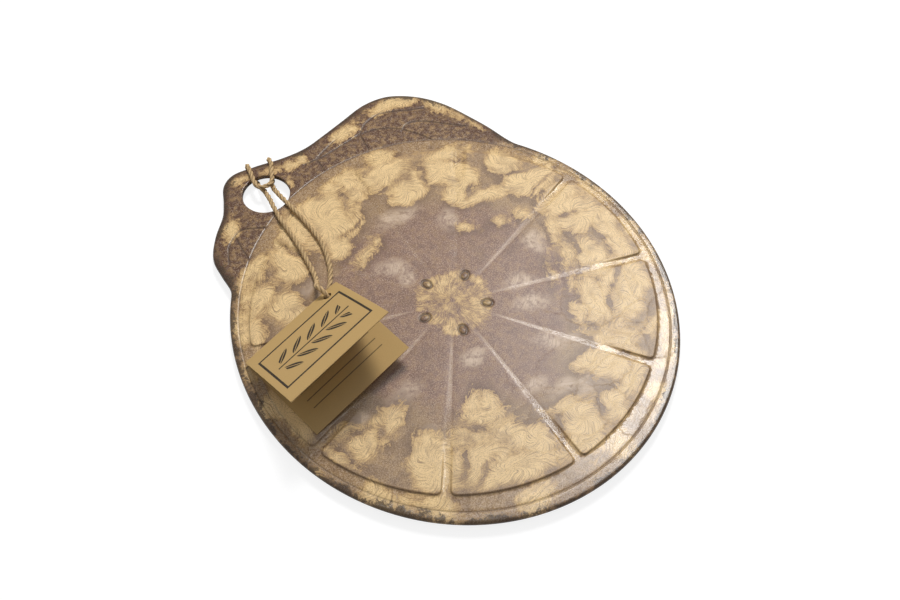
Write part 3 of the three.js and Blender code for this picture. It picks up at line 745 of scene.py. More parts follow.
def board_mesh(plan):
    """Points and triangles of the whole board: the upper face in plan with its heights, rings over the
    rounded rim, rings through the flared hole, the plate's lower face, the foot's flank and base."""
    flare = plan.hole_radius + HOLE_ROUND
    vertices, faces = [], []
    count = 0

    def keep(points, level):
        """Store points in plan at a level, or at a level each, and give their indices."""
        nonlocal count
        vertices.append(np.column_stack([points, np.broadcast_to(level, len(points))]))
        count += len(points)
        return np.arange(count - len(points), count)

    def carry(ring, line, level, inward=False):
        """Join a ring to a new one along a line at a level, and give the new one."""
        new = keep(line, level)
        faces.append(triangles_of(strip(ring, new) if inward else strip(new, ring)))
        return new

    def drawn_in(distance):
        """The outline moved inwards."""
        return offset(plan.outline, distance, True)

    features = [segment_rows(plan), seed_rows(), line_rows(plan.oval(RIM_INSET), True)]
    features = np.vstack(features + [line_rows(line) for line in plan.leaf_lines])
    top_ring, inner_ring = drawn_in(TOP_ROUND), drawn_in(TOP_ROUND + EDGE_GAP)
    hole_edge, hole_guard = plan.hole_ring(flare), plan.hole_ring(flare + EDGE_GAP)
    taken = np.vstack([features, top_ring, inner_ring, hole_edge, hole_guard])
    loose = np.vstack([features, plan_points(plan, PLAN_STEP, taken), hole_guard, inner_ring])
    loose = loose[inside(loose, drawn_in(TOP_ROUND + CLEAR))]
    loose = loose[np.linalg.norm(loose - plan.hole, axis=1) > flare + CLEAR]
    points, triangles, (rim, hole) = triangulated([top_ring, hole_edge], loose, [1])
    keep(points, top_height(plan, points)[0])
    faces.append(triangles)

    turns = np.linspace(0, np.pi / 2, ROUND_STEPS + 1)[1:]
    for turn in turns:
        level = PLATE_TOP - TOP_ROUND * (1 - math.cos(turn))
        rim = carry(rim, drawn_in(TOP_ROUND * (1 - math.sin(turn))), level)
    rim = carry(rim, plan.outline, PLATE_UNDERSIDE + UNDER_ROUND[1])
    for turn in turns[:-1]:
        level = PLATE_UNDERSIDE + UNDER_ROUND[1] * (1 - math.sin(turn))
        rim = carry(rim, drawn_in(UNDER_ROUND[0] * (1 - math.cos(turn))), level)
    for side, base, order in ((-1, PLATE_TOP, turns), (1, PLATE_UNDERSIDE, turns[::-1])):
        for turn in order:
            level = base + side * HOLE_ROUND * (1 - math.cos(turn))
            hole = carry(hole, plan.hole_ring(flare - HOLE_ROUND * math.sin(turn)), level, inward=True)

    under_ring = drawn_in(UNDER_ROUND[0])
    foot_ring = plan.oval((FOOT_INSET, FOOT_INSET))
    loose = plan_points(plan, UNDER_STEP, np.vstack([under_ring, hole_edge, foot_ring]))
    loose = loose[inside(loose, drawn_in(UNDER_ROUND[0] + 1)) & ~inside(loose, foot_ring)]
    loose = loose[np.linalg.norm(loose - plan.hole, axis=1) > flare + 1]
    flat, under, rings = triangulated([under_ring, hole_edge, foot_ring], loose, [1, 2])
    first = keep(flat, PLATE_UNDERSIDE)[0]
    outer, bore, foot = [ring + first for ring in rings]
    faces.append(under[:, ::-1] + first)
    faces.append(triangles_of(strip(outer, rim)))
    faces.append(triangles_of(strip(hole, bore)))
    for turn in turns:
        share = 1 - FOOT_FLANK * (1 - math.cos(turn)) / plan.half_width
        foot = carry(foot, foot_ring * share, PLATE_UNDERSIDE * (1 - math.sin(turn)))
    base = vertices[-1][:, :2]
    for share in np.linspace(1, 0, BASE_RINGS)[1:-1]:
        foot = carry(foot, base * share, 0)
    middle = keep(np.zeros((1, 2)), 0)
    faces.append(np.stack([foot, np.full(len(foot), middle[0]), np.roll(foot, -1)], axis=1))
    return np.vstack(vertices), np.vstack(faces)


# Board: marbling


def patch_field(x, y, patches):
    """Each point's place in each patch's own oval frame, and its distance there, 1 at the border."""
    px, py, half_long, half_wide, turn = patches.T[:, :, None]
    c, s = np.cos(np.radians(turn)), np.sin(np.radians(turn))
    along = ((x - px) * c + (y - py) * s) / half_long
    across = (-(x - px) * s + (y - py) * c) / half_wide
    return along, across, np.hypot(along, across)


def marbling(plan, points):
    """Attributes of the marbling at each point. The field is the distance in millimetres inside the
    pale patches, joined smoothly as a log of a sum of powers, less the cracks, and on the rim a slow
    random field. The fibre vector runs round the nearest patch in x and y and out of it in z."""
    x, y = points.T
    radius = np.hypot(x, y)
    ring = plan.segment_radius
    shifted_x, shifted_y = x, y
    for reach, cell, seed_x, seed_y in PATCH_SHIFTS:
        shifted_x = shifted_x + reach * value_noise(x, y, cell, seed_x)
        shifted_y = shifted_y + reach * value_noise(x, y, cell, seed_y)
    star = [0, 0, STAR_RADIUS, STAR_RADIUS, 0]
    patches = np.array(HANDLE_PATCHES + UPPER_PATCHES + LOWER_PATCHES + [star])
    along, across, border = patch_field(shifted_x, shifted_y, patches)
    inside_by = np.clip((1 - border) * patches[:, 3, None], -12, 6)
    inside_by[-1] = np.minimum(inside_by[-1], STAR_FAINT)
    field = PATCH_JOIN * np.log(np.exp(inside_by / PATCH_JOIN).sum(0))
    on_body = 1 - handle_share(x, y) * ease(radius, ring, ring + 12)
    field = field + OUTER_GAIN * ease(radius, *OUTER_PALE) * on_body
    at_rim = ease(radius, ring - 4, ring + 2) * on_body * (1 - handle_side(x, y))
    wave, cell = RIM_WAVE
    field = field + at_rim * (RIM_PALE + wave * value_noise(x, y, cell, 7) - field)
    crack = patch_field(shifted_x, shifted_y, CRACKS)[2].min(0)
    field = np.minimum(field, 2 * (crack - 1))

    best = inside_by.argmax(0)
    pick = (best, np.arange(len(x)))
    nearest = patches[best]
    girth = nearest[:, 2:4].mean(1)
    curl = np.where(best == len(patches) - 1, 0, FIBRE_CURL)
    outwards = (along[pick] + 1j * across[pick]) / np.maximum(border[pick], 1e-6)
    swirl = np.exp(1j * curl * border[pick]) * outwards * girth
    fibre = np.stack([swirl.real, swirl.imag, border[pick] * nearest[:, 3] + 40.0 * best], axis=1)
    haze = np.clip(HAZE_GAIN * (1 - patch_field(shifted_x, shifted_y, HAZY_PATCHES)[2]), 0, 1).max(0)
    inward = -((x - nearest[:, 0]) * x + (y - nearest[:, 1]) * y) / np.maximum(radius * girth, 1e-6)
    return np.clip(field, -9, 9), haze, fibre, ease(inward, -0.5, 0.5)


def board_attributes(plan, vertices):
    """What the finish reads at each point: marbling, ground tone, wear at the edge with painted shade
    below the top face, painted shade in the engraved lines, seed hollows and creases, and painted sheen on
    the spokes.
    """
    points = vertices[:, :2]
    x, y = points.T
    radius = np.hypot(x, y)
    ring = plan.segment_radius
    field, haze, fibre, crisp = marbling(plan, points)
    _, depth, from_rim, from_leaf = top_height(plan, points)
    along = spoke_frame(x, y)[0]
    to_handle = handle_side(x, y)
    face = ease(vertices[:, 2], PLATE_TOP - 1.2, PLATE_TOP - 0.2)

    on_handle = ease(radius - plan.body_radius(angle_of(x, y), RIM_INSET), -3, 2) * handle_share(x, y)
    spread = radius + 9 * value_noise(x, y, 17, 8) + 4 * value_noise(x, y, 6, 9)
    tone = 0.5 * ease(spread, *TONE_RADII) * (1 - on_handle) + on_handle
    outer = radius > ring
    to_edge = np.full(len(x), FAR)
    to_edge[outer] = distance_to(points[outer], plan.outline)
    # Wear in a band round the edge, with painted shade: all below the top face, the sides, underside and
    # hole wall, is fully dark
    wear_and_shade = np.maximum(bell(to_edge, WORN_REACH), 1 - face)
    spoke = ease(-depth, -0.2, 0.5) * ease(along, SPOKE_START - 6, SPOKE_START + 8)
    spoke = spoke * (radius < ring) * face
    # Painted sheen: the spokes are lightened as if they reflected the light, fading outwards and towards
    # the handle
    line = spoke * (1 - 0.75 * ease(along, *SPOKE_SHEEN_RADII)) * (1 - 0.6 * to_handle)
    # Painted shade with dirt in the creases along the segments' outer edges, weaker towards the handle
    crease_shade_and_dirt = bell(depth - 0.05, CREASE_SHADE_WIDTH) * ease(radius, *CREASE_SHADE_RADII) * (radius < ring + 1) * face
    crease_shade_and_dirt = crease_shade_and_dirt * (1 - 0.75 * to_handle)
    # Engraved lines; their mask also paints shade into the grooves
    rim_line = RIM_LINE_SHARE * bell(from_rim, ENGRAVED_WIDTH)
    engraved = np.maximum(bell(from_leaf, ENGRAVED_WIDTH), rim_line)
    engraved = engraved * face * (radius > ring + 0.6)
    # Seeds: painted shade in the hollow round each seed's foot, and darker tops
    from_seed = np.linalg.norm(seed_places(points) / DISH_HALF, axis=-1)
    seed = np.maximum(bell(from_seed - 0.72, 0.24), 0.28 * (from_seed < 0.7)).max(0) * face
    polished = np.maximum(spoke, ease(radius, ring, ring + 1) * face)
    return {"field": field, "haze": haze, "fibre": fibre, "crisp": crisp, "tone": tone, "wear_and_shade": wear_and_shade,
            "line": line, "crease_shade_and_dirt": crease_shade_and_dirt, "engraved": engraved, "seed": seed, "polished": polished}


def layered(node, colour, layers):
    """A colour under layers. A layer is its colour and the factors of its share: outputs, numbers, or a
    smooth range as value, start and end, and what it gives at both where that isn't 0 and 1."""
    for tint, *factors in layers:
        share = None
        for factor in factors:
            if isinstance(factor, tuple):
                factor = node("MapRange", *factor, interpolation_type="SMOOTHSTEP")
            share = node("Math", share, factor, operation="MULTIPLY") if share else factor
        colour = node("Mix", inputs={0: share, 6: colour, 7: tint}, output=2, data_type="RGBA")
    return colour


def composite_material(settings):
    """Moulded wood-fibre composite: pine fibre in a dark binder, pressed in a polished mould. Pale
    fibre fans lie in a mauve-brown ground with frayed edges, all over it fine flecks, and the skin has
    a satin gloss."""
    material = bpy.data.materials.new("moulded_wood_fibre_composite")
    node = node_maker(material)
    pale, paler, mauve, khaki, brown, bloom_and_sheen, dark = [opaque(colour) for colour in (
        settings.pale, settings.paler, settings.mauve, settings.khaki, settings.brown, settings.bloom_and_sheen,
        settings.wear_and_shade)]
    field, haze, crisp, tone, wear_and_shade, line, crease_shade_and_dirt, engraved, seed, polished = [
        node("Attribute", output="Fac", attribute_name=name) for name in (
            "field", "haze", "crisp", "tone", "wear_and_shade", "line", "crease_shade_and_dirt", "engraved", "seed", "polished")]
    fibre = node("Attribute", output="Vector", attribute_name="fibre")
    place = node("TexCoord", output="Object")
    # Strokes 1 mm wide and about 6 mm long that run out of each patch, and finer ones in it
    stroke, fine_stroke = [
        node("TexNoise", inputs={
            "Vector": node("Mapping", inputs={"Vector": fibre, "Scale": scale}),
            "Scale": 1, "Detail": detail, "Roughness": 0.6})
        for scale, detail in (((0.9, 0.9, 0.16), 3), ((1.4, 1.4, 0.13), 2))]
    # Flecks of 0.7 mm, tufts of 3.5 mm, clouds of 12 mm and slow changes over 24 mm
    fleck, tuft, cloud, slow = [
        node("TexNoise", inputs={
            "Vector": place, "Scale": 1 / (size * MM), "Detail": detail, "Roughness": roughness})
        for size, detail, roughness in ((0.7, 2, 0.65), (3.5, 3, 0.6), (12, 3, 0.5), (24, 1, 0.5))]
    # The patches' borders and the edge wear with the painted shade below the top face, both frayed: each
    # pattern's reach to both sides
    frayed = []
    for value, parts in (
            (field, ((stroke, 5), (tuft, 7), (cloud, 8), (fleck, 2.5))),
            (wear_and_shade, ((fleck, 1.8), (tuft, 2), (cloud, 2.2)))):
        for part, reach in parts:
            part = node("Math", part, 0.5, operation="SUBTRACT")
            value = node("Math", part, reach, value, operation="MULTIPLY_ADD")
        frayed.append(value)
    border, edge = frayed
    ground = layered(node, mauve, [
        (khaki, (tone, 0, 0.5)),
        (brown, (tone, 0.5, 1)),
        (bloom_and_sheen, (tone, 0.5, 1, 0.55, 0.4), (fleck, 0.48, 0.68)),
        (khaki, (tone, 0.5, 1), (tuft, 0.45, 0.62, 0, 0.6)),
        (brown, (fleck, 0.52, 0.34, 0, 0.45)),
        (pale, (tuft, 0.4, 0.75, 0, 0.25)),
        (brown, (tuft, 0.5, 0.25, 0, 0.3)),
        (brown, (cloud, 0.5, 0.3, 0, 0.25)),
        (bloom_and_sheen, haze, (tuft, 0.3, 0.6, 0.25, 1), (stroke, 0.35, 0.6, 0.45, 1), 0.95),
        # Dark binder gathers at the crisp side of a patch
        (brown, crisp, (border, -4.5, -0.5, 0, 0.5)),
    ])
    fans = layered(node, pale, [
        (paler, (border, -0.5, 4.5)),
        (khaki, (stroke, 0.5, 0.28, 0, 0.45)),
        (khaki, (cloud, 0.5, 0.28, 0, 0.45)),
        (brown, (fine_stroke, 0.49, 0.33, 0, 0.6)),
        (mauve, (fleck, 0.5, 0.3, 0, 0.55)),
    ])
    # Borders are sharp at a patch's crisp side and soft at the other
    softness = 0.0
    for limits in ((crisp, 0, 1, 1.7, 0.3), (slow, 0.4, 0.65, 0.1, 0.7)):
        part = node("MapRange", *limits, interpolation_type="SMOOTHSTEP")
        softness = node("Math", part, softness, operation="ADD")
    colour = layered(node, ground, [
        (fans, (node("Math", border, softness, operation="DIVIDE"), -1, 1)),
        # Edge wear in a band round the board, and painted shade on the sides, underside and hole wall
        (dark, (edge, 0.42, 0.85, 0, 0.88), (wear_and_shade, 0.01, 0.15)),
        # Painted shade with dirt in the creases
        (dark, crease_shade_and_dirt, 0.35),
        # Painted shade in the engraved grooves
        (dark, engraved, 0.6),
        # Painted shade round the seeds' feet, and darker tops
        (dark, seed, 0.82),
        # Painted sheen on the spokes
        (bloom_and_sheen, line, 0.42),
    ])
    # Satin skin, glossier where the mould was polished and dull in the engraved lines
    roughness = node("MapRange", fleck, 0.3, 0.7, 0.36, 0.48, interpolation_type="SMOOTHSTEP")
    for mark, change in ((polished, -0.17), (engraved, 0.3)):
        roughness = node("Math", mark, change, roughness, operation="MULTIPLY_ADD")
    height = node("Math", fleck, 0.4, node("Math", fine_stroke, 0.6, operation="MULTIPLY"),
                  operation="MULTIPLY_ADD")
    bump = node("Bump", inputs={"Height": height, "Strength": 0.6, "Distance": 0.16 * MM})
    skin = node("BsdfPrincipled", inputs={
        "Base Color": colour, "Roughness": roughness, "Normal": bump, "IOR": 1.5})
    node("OutputMaterial", skin)
    return material


# Twine


def twine_places(plan):
    """The twine's three routes in millimetres: the left leg from the hole up to the tag and through it,
    the hitch round the bar and the right leg from the hole to the knot."""

    def beside_hole(entry):
        """A place from the hole's centre, or from the twine's line just off the handle's edge."""
        x = plan.hole[0] + entry[0]
        start = plan.outer_edge(x) + CORD_GAP + CORD_RADIUS if "edge" in entry else plan.hole[1]
        return [x, start + entry[1], CORD_UNDER + entry[2] * (CORD_ON_PLATE - CORD_UNDER)]

    def on_segments(entry):
        """A place from the hole's centre on the segments, or lifted off them."""
        x, y, lift = [*entry, 0][:3]
        return [plan.hole[0] + x, plan.hole[1] + y, CORD_ON_SEGMENTS + lift]

    turn = np.radians(LOOP_ANGLES)
    loop = TAG_HOLE_FROM_FOLD * np.column_stack([np.zeros(len(turn)), -np.cos(turn), np.sin(turn)])
    loop[:, 0] = tag_hole_x()
    left = [beside_hole(entry) for entry in LEFT_LEG_ON_PLATE]
    left += [on_segments(entry) for entry in LEFT_LEG_ON_SEGMENTS + LEFT_LEG_RISE]
    left = np.vstack([left, placed_in(tag_frame(), loop)])
    hitch = np.array([beside_hole(entry) for entry in HITCH_ROUTE])
    right = [beside_hole(entry) for entry in RIGHT_LEG_ON_PLATE]
    right = np.array(right + [on_segments(entry) for entry in RIGHT_LEG_ON_SEGMENTS])
    reach = knot_place() - right[-1]
    length = np.linalg.norm(reach)
    right = np.vstack([right, right[-1] + reach / length * (length - KNOT_RADIUS - CORD_GAP)])
    return left, hitch, right


def carried_frames(line):
    """A normal and a second normal along a line, carried from each point to the next with no twist."""
    ahead = np.gradient(line, axis=0)
    ahead /= np.linalg.norm(ahead, axis=1, keepdims=True)
    normal = np.cross(ahead[0], [0.3, 0.5, 0.8])
    normals = []
    for tangent in ahead:
        normal = normal - tangent * (normal @ tangent)
        normal = normal / np.linalg.norm(normal)
        normals.append(normal)
    normals = np.array(normals)
    return ahead, normals, np.cross(ahead, normals)


def ply_radius(turn, plies=3):
    """Outer radius of three round plies twisted together, as a share of the twine's own radius: the far
    side of a circle of radius thick, a distance out from the middle."""
    pitch = 2 * np.pi / plies
    off = np.mod(turn + pitch / 2, pitch) - pitch / 2
    out, thick = 0.46, 0.54
    return out * np.cos(off) + np.sqrt(thick ** 2 - (out * np.sin(off)) ** 2)


def twine_rings(line, radius, lay):
    """Rings of a twisted twine along a line: at length s and angle a the radius is that of the plies
    turned by one turn for each lay, made uneven by slow waves. Gives the points, their place in
    the twist and how deep they lie between the plies."""
    _, normal, second = carried_frames(line)
    along = np.concatenate([[0], np.cumsum(np.linalg.norm(np.diff(line, axis=0), axis=1))])[:, None]
    around = np.linspace(0, 2 * np.pi, TWINE_SIDES, endpoint=False)[None]
    twist = around - 2 * np.pi * along / lay
    uneven = 1 + 0.05 * np.sin(along / 3.7) + 0.04 * np.sin(along / 1.9 + 2 * around)
    reach = radius * ply_radius(twist) * uneven
    points = (line[:, None] + (reach * np.cos(around))[..., None] * normal[:, None]
              + (reach * np.sin(around))[..., None] * second[:, None])
    coordinates = np.stack([
        np.cos(twist) * 4, np.sin(twist) * 4, np.broadcast_to(along, twist.shape) * 0.35], axis=-1)
    deep = np.broadcast_to(1 - (ply_radius(twist) - 0.55) / 0.45, twist.shape)
    return points, coordinates, deep


def tube_faces(rings, sides):
    """Triangles of a tube of that many rings, closed at both ends by fans to two last points."""
    index = np.arange(rings * sides).reshape(rings, sides)
    first, last = index.size, index.size + 1
    return np.vstack([
        walls_of(index),
        np.stack([np.roll(index[0], -1), index[0], np.full(sides, first)], axis=1),
        np.stack([index[-1], np.roll(index[-1], -1), np.full(sides, last)], axis=1)])


def stray_fibres(line, radius, per_mm, seed, bare):
    """Loose jute hairs: thin three-sided spikes that leave the twine, lean along it and bend by the
    square of their length, drawn back to a reach from its middle. The last points of the line can be
    left bare, where the twine runs through the tag."""
    draw = np.random.default_rng(seed)
    ahead, normal, second = carried_frames(line)
    count = max(1, int(per_mm * len(line) * TWINE_STEP))
    at = draw.integers(4, len(line) - 4 - bare, count)
    turn = draw.uniform(0, 2 * np.pi, count)[:, None]
    out = np.cos(turn) * normal[at] + np.sin(turn) * second[at]
    lean = ahead[at] * draw.choice([-1, 1], count)[:, None]
    long = np.minimum(draw.gamma(2.0, 0.7, count), 2.6)[:, None] + 0.5
    share = np.linspace(0, 1, HAIR_RINGS)[:, None, None]
    path = (line[at] + out * radius * 0.75 + share * long * (0.55 * out + 0.8 * lean)
            + share ** 2 * long * 0.35 * draw.normal(size=(count, 3)))
    from_line = path - line[at]
    across = from_line - (from_line * ahead[at]).sum(-1, keepdims=True) * ahead[at]
    far = np.linalg.norm(across, axis=-1, keepdims=True)
    path = path - across * (1 - np.minimum(1, HAIR_REACH / far))
    path[..., 2] = np.maximum(path[..., 2], HAIR_LOWEST)
    thick = HAIR_HALF_WIDTH * (1 - 0.85 * share)
    side = np.cross(out, lean)
    corners = np.stack([out, -0.5 * out + 0.87 * side, -0.5 * out - 0.87 * side])
    points = (path[:, None] + thick[:, None] * corners).transpose(2, 0, 1, 3).reshape(-1, 3)
    one = np.arange(3 * HAIR_RINGS).reshape(HAIR_RINGS, 3)
    shell = np.vstack([walls_of(one), one[:1, ::-1], one[-1:]])
    faces = (shell + one.size * np.arange(count)[:, None, None]).reshape(-1, 3)
    return points, faces


def twine_piece(name, line, radius, lay, material, hairs, seed, bare=0):
    """One length of twisted twine with its stray fibres, and its attributes for the jute finish."""
    points, coordinates, deep = twine_rings(line, radius, lay)
    body = np.vstack([points.reshape(-1, 3), line[:1], line[-1:]])
    loose, loose_faces = stray_fibres(line, radius, hairs, seed, bare)
    faces = np.vstack([tube_faces(*points.shape[:2]), loose_faces + len(body)])
    twist = np.vstack([coordinates.reshape(-1, 3), np.zeros((2, 3)), loose * 0.5])
    shade = np.concatenate([deep.ravel(), np.zeros(2 + len(loose))])
    return new_piece(name, np.vstack([body, loose]), faces, material, {"twist": twist, "shade": shade})


def jute_material(settings):
    """Jute twine: plies of long dull bast fibre, spun and twisted. Fine streaks follow the twist, painted
    shade darkens the clefts between the plies and there is no gloss."""
    material = bpy.data.materials.new("jute_twine")
    node = node_maker(material)
    twist = node("Attribute", output="Vector", attribute_name="twist")
    shade = node("Attribute", output="Fac", attribute_name="shade")
    streak = node("TexNoise", inputs={"Vector": twist, "Scale": 2.4, "Detail": 4, "Roughness": 0.65})
    light = tuple(min(1, JUTE_LIGHT * channel) for channel in settings.jute)
    # Lighter streaks, and painted shade in the clefts
    colour = layered(node, opaque(settings.jute), [
        (opaque(light), (streak, 0.36, 0.66)), (opaque(settings.shade), shade, 0.7)])
    bump = node("Bump", inputs={"Height": streak, "Strength": 0.6, "Distance": 0.2 * MM})
    skin = node("BsdfPrincipled", inputs={
        "Base Color": colour, "Normal": bump, "Roughness": 0.9, "Specular IOR Level": 0.2})
    node("OutputMaterial", skin)
    return material


def knot_line():
    """An overhand knot drawn tight: the trefoil sin t + 2 sin 2t, cos t - 2 cos 2t, -1.5 sin 3t, open."""
    t = np.linspace(0.25, 2 * np.pi - 0.25, 90)
    loop = np.column_stack([
        np.sin(t) + 2 * np.sin(2 * t), np.cos(t) - 2 * np.cos(2 * t), -1.5 * np.sin(3 * t)])
    return knot_place() + KNOT_SIZE * loop


# Tag


def tag_frame():
    """Turn and place of the tag's own frame: climb about y, turn about z, then the fold's left end."""
    climb = Matrix.Rotation(math.radians(-TAG_TILT), 3, "Y")
    turn = Matrix.Rotation(math.radians(TAG_TURN), 3, "Z") @ climb
    thickness = bpy.context.scene.tag_settings.thickness / MM
    level = SEGMENT_TOP + TAG_LIFT + FOLD_GAP + thickness
    return np.array(turn), np.array([*TAG_CORNER, level])


def placed_in(tag, points):
    """Points of the tag's frame in the board's frame."""
    turn, place = tag
    return points @ turn.T + place


def tag_hole_x():
    """Place of the tag's hole along the fold."""
    return bpy.context.scene.tag_settings.width / MM - TAG_HOLE_FROM_END


def knot_place():
    """Middle of the knot: on the segments, below the tag's hole."""
    place = placed_in(tag_frame(), np.array([tag_hole_x(), -TAG_HOLE_FROM_FOLD / 2, 0]))
    return np.array([place[0], place[1], SEGMENT_TOP + CORD_GAP + KNOT_RADIUS])


def card_middle(u, v, depth, middle):
    """Middle surface of the folded card and its normal, by the place along the fold and the length
    across it: the flat back leaf, an arc round the fold's axis and the flat front leaf, each leaf
    slightly bowed."""
    lean = math.radians(TAG_OPENING)
    bend = middle * (np.pi - lean)
    turn = np.clip(v, 0, bend) / middle - np.pi / 2
    back = np.clip(-v, 0, None)
    front = np.clip(v - bend, 0, None)
    normal = np.stack([np.zeros_like(u), np.cos(turn), np.sin(turn)], axis=1)
    points = np.stack([
        u,
        middle * np.cos(turn) - back - front * math.cos(lean),
        middle * np.sin(turn) + front * math.sin(lean)], axis=1)
    bow = BACK_BOW * np.sin(np.pi * np.clip(back / depth, 0, 1)) * np.sin(np.pi * u / u.max())
    bow = bow + FRONT_BOW * np.sin(np.pi * np.clip(front / depth, 0, 1) * 0.9)
    lift = np.where(back > 0, -bow, bow)
    return points + lift[:, None] * normal, normal


def card_mesh(settings):
    """The folded card: its flat cut triangulated round the two holes, bent over the fold and given its
    thickness as an outer and an inner face with rims between."""
    width, depth = settings.width / MM, settings.depth / MM
    half = settings.thickness / 2 / MM
    middle = FOLD_GAP + half
    bend = middle * (np.pi - math.radians(TAG_OPENING))
    cut = np.array([[0, -depth], [width, -depth], [width, bend + depth], [0, bend + depth]])
    border = resampled(cut, CARD_STEP, closed=True)
    border[np.abs(border - cut[:, None]).sum(-1).argmin(1)] = cut
    across = np.concatenate([
        np.arange(-depth + CARD_STEP, -CARD_STEP / 2, CARD_STEP), np.linspace(-0.6, bend + 0.6, 12),
        np.arange(bend + CARD_STEP, bend + depth - CARD_STEP / 2, CARD_STEP)])
    grid_u, grid_v = np.meshgrid(np.arange(CARD_STEP, width - CARD_STEP / 2, CARD_STEP), across)
    loose = np.stack([grid_u.ravel(), grid_v.ravel()], axis=1)
    ring = polar(TAG_HOLE_RADIUS, np.linspace(0, 360, TAG_HOLE_SIDES, endpoint=False))
    holes = []
    for place in (-TAG_HOLE_FROM_FOLD, bend + TAG_HOLE_FROM_FOLD):
        centre = np.array([tag_hole_x(), place])
        holes.append(centre + ring)
        loose = loose[np.linalg.norm(loose - centre, axis=1) > TAG_HOLE_RADIUS + 0.5]
    flat, triangles, rings = triangulated([border, *holes], loose, [1, 2])
    u, v = flat.T
    points, normal = card_middle(u, v, depth, middle)
    count = len(flat)
    faces = [triangles, triangles[:, ::-1] + count]
    faces.append(triangles_of(strip(rings[0], rings[0] + count))[:, ::-1])
    faces += [triangles_of(strip(ring, ring + count)) for ring in rings[1:]]
    vertices = placed_in(tag_frame(), np.vstack([points + half * normal, points - half * normal]))
    front = v > bend / 2
    from_fold = np.where(front, v - bend, -v)
    outer, inner = [np.column_stack([u, from_fold, side + front]) for side in (0, 2)]
    return vertices, np.vstack(faces), np.vstack([outer, inner])


def kraft_material(settings):
    """Kraft card: unbleached pulp board, rolled dull. Short fibres and flecks show in it, and the print
    is a matt black sprig in a plain frame outside, and plain rules inside."""
    material = bpy.data.materials.new("kraft_card")
    node = node_maker(material)
    card = node("Attribute", output="Vector", attribute_name="card")
    # Pulp fibres about 0.3 mm wide and 2 mm long, drawn as coarse as the render can show
    fibre = node("Mapping", inputs={"Vector": card, "Scale": (0.9, 2.6, 1)})
    fleck = node("TexNoise", inputs={"Vector": fibre, "Scale": 1, "Detail": 4, "Roughness": 0.7})
    fibres = node("MapRange", fleck, 0.35, 0.7, 0.16, -0.06)
    brown = tuple(KRAFT_DARK * channel for channel in settings.kraft)
    # Each step of the print: its name, the sum and what goes into it, in millimetres on the leaf
    steps = [
        ("x", "SUBTRACT", "u", settings.width / MM / 2),
        ("y", "SUBTRACT", "v", settings.depth / MM / 2),
        ("out_x", "ABSOLUTE", "x"),
        ("out_y", "ABSOLUTE", "y"),
        # Leaves in pairs along a stem, each the overlap of two circles with a bare vein
        ("slant", "SUBTRACT", "x", "out_y"),
        ("cell", "WRAP", "slant", 0.0, LEAF_PITCH),
        ("leaf_x", "SUBTRACT", "cell", LEAF_PITCH / 2),
        ("leaf_y", "SUBTRACT", "out_y", LEAF_OUT),
        ("beside", "ABSOLUTE", "leaf_x"),
        ("from_centre", "ADD", "beside", LEAF_CENTRE),
        ("square_y", "MULTIPLY", "leaf_y", "leaf_y"),
        ("square", "MULTIPLY_ADD", "from_centre", "from_centre", "square_y"),
        ("leaf", "LESS_THAN", "square", LEAF_RADIUS ** 2),
        ("beside_vein", "GREATER_THAN", "beside", 0.32),
        ("leaf", "MULTIPLY", "leaf", "beside_vein"),
        ("among_leaves", "LESS_THAN", "out_x", 24.0),
        ("leaf", "MULTIPLY", "leaf", "among_leaves"),
        ("on_stem", "LESS_THAN", "out_y", 0.55),
        ("stem_length", "LESS_THAN", "out_x", PRINT_REACH),
        ("stem", "MULTIPLY", "on_stem", "stem_length"),
        # A plain frame round them
        ("past_x", "SUBTRACT", "out_x", FRAME_HALF[0]),
        ("past_y", "SUBTRACT", "out_y", FRAME_HALF[1]),
        ("past", "MAXIMUM", "past_x", "past_y"),
        ("frame", "COMPARE", "past", 0.0, 0.7),
        ("outside", "MAXIMUM", "leaf", "stem"),
        ("outside", "MAXIMUM", "outside", "frame"),
        ("on_front", "COMPARE", "face", 1.0, 0.1),
        ("outside", "MULTIPLY", "outside", "on_front"),
        # Rules inside the back leaf
        ("row", "WRAP", "v", 0.0, RULE_PITCH),
        ("rule", "COMPARE", "row", RULE_PITCH / 2, 0.35),
        ("rule", "MULTIPLY", "rule", "stem_length"),
        ("among_rules", "COMPARE", "v", 42.0, 14.0),
        ("rule", "MULTIPLY", "rule", "among_rules"),
        ("in_back", "COMPARE", "face", 2.0, 0.1),
        ("rule", "MULTIPLY", "rule", "in_back"),
        ("rule", "MULTIPLY", "rule", 0.7),
        ("ink", "MAXIMUM", "outside", "rule"),
    ]
    made = dict(zip(("u", "v", "face"), node("SeparateXYZ", card).node.outputs))
    for name, operation, *parts in steps:
        made[name] = node("Math", *[made.get(part, part) for part in parts], operation=operation)
    colour = layered(node, opaque(settings.kraft), [
        (opaque(brown), fibres), (opaque(settings.ink), made["ink"], 0.94)])
    bump = node("Bump", inputs={"Height": fleck, "Strength": 0.15, "Distance": 0.1 * MM})
    skin = node("BsdfPrincipled", inputs={
        "Base Color": colour, "Normal": bump, "Roughness": 0.75, "Specular IOR Level": 0.3})
    node("OutputMaterial", skin)
    return material


# Stage


def floor_material(settings):
    """Matt white studio floor, which keeps the object's shadow. The camera sees it half lit by itself,
    so that it is white to the edge of the picture."""
    material = bpy.data.materials.new("studio_floor")
    node = node_maker(material)
    seen = node("LightPath", output="Is Camera Ray")
    base = layered(node, opaque(settings.floor), [(opaque([FLOOR_SEEN] * 3), seen)])
    glow = node("Math", seen, FLOOR_GLOW, operation="MULTIPLY")
    skin = node("BsdfPrincipled", inputs={
        "Base Color": base, "Emission Color": (1, 1, 1, 1), "Emission Strength": glow, "Roughness": 0.9,
        "Specular IOR Level": 0.0})
    node("OutputMaterial", skin)
    return material


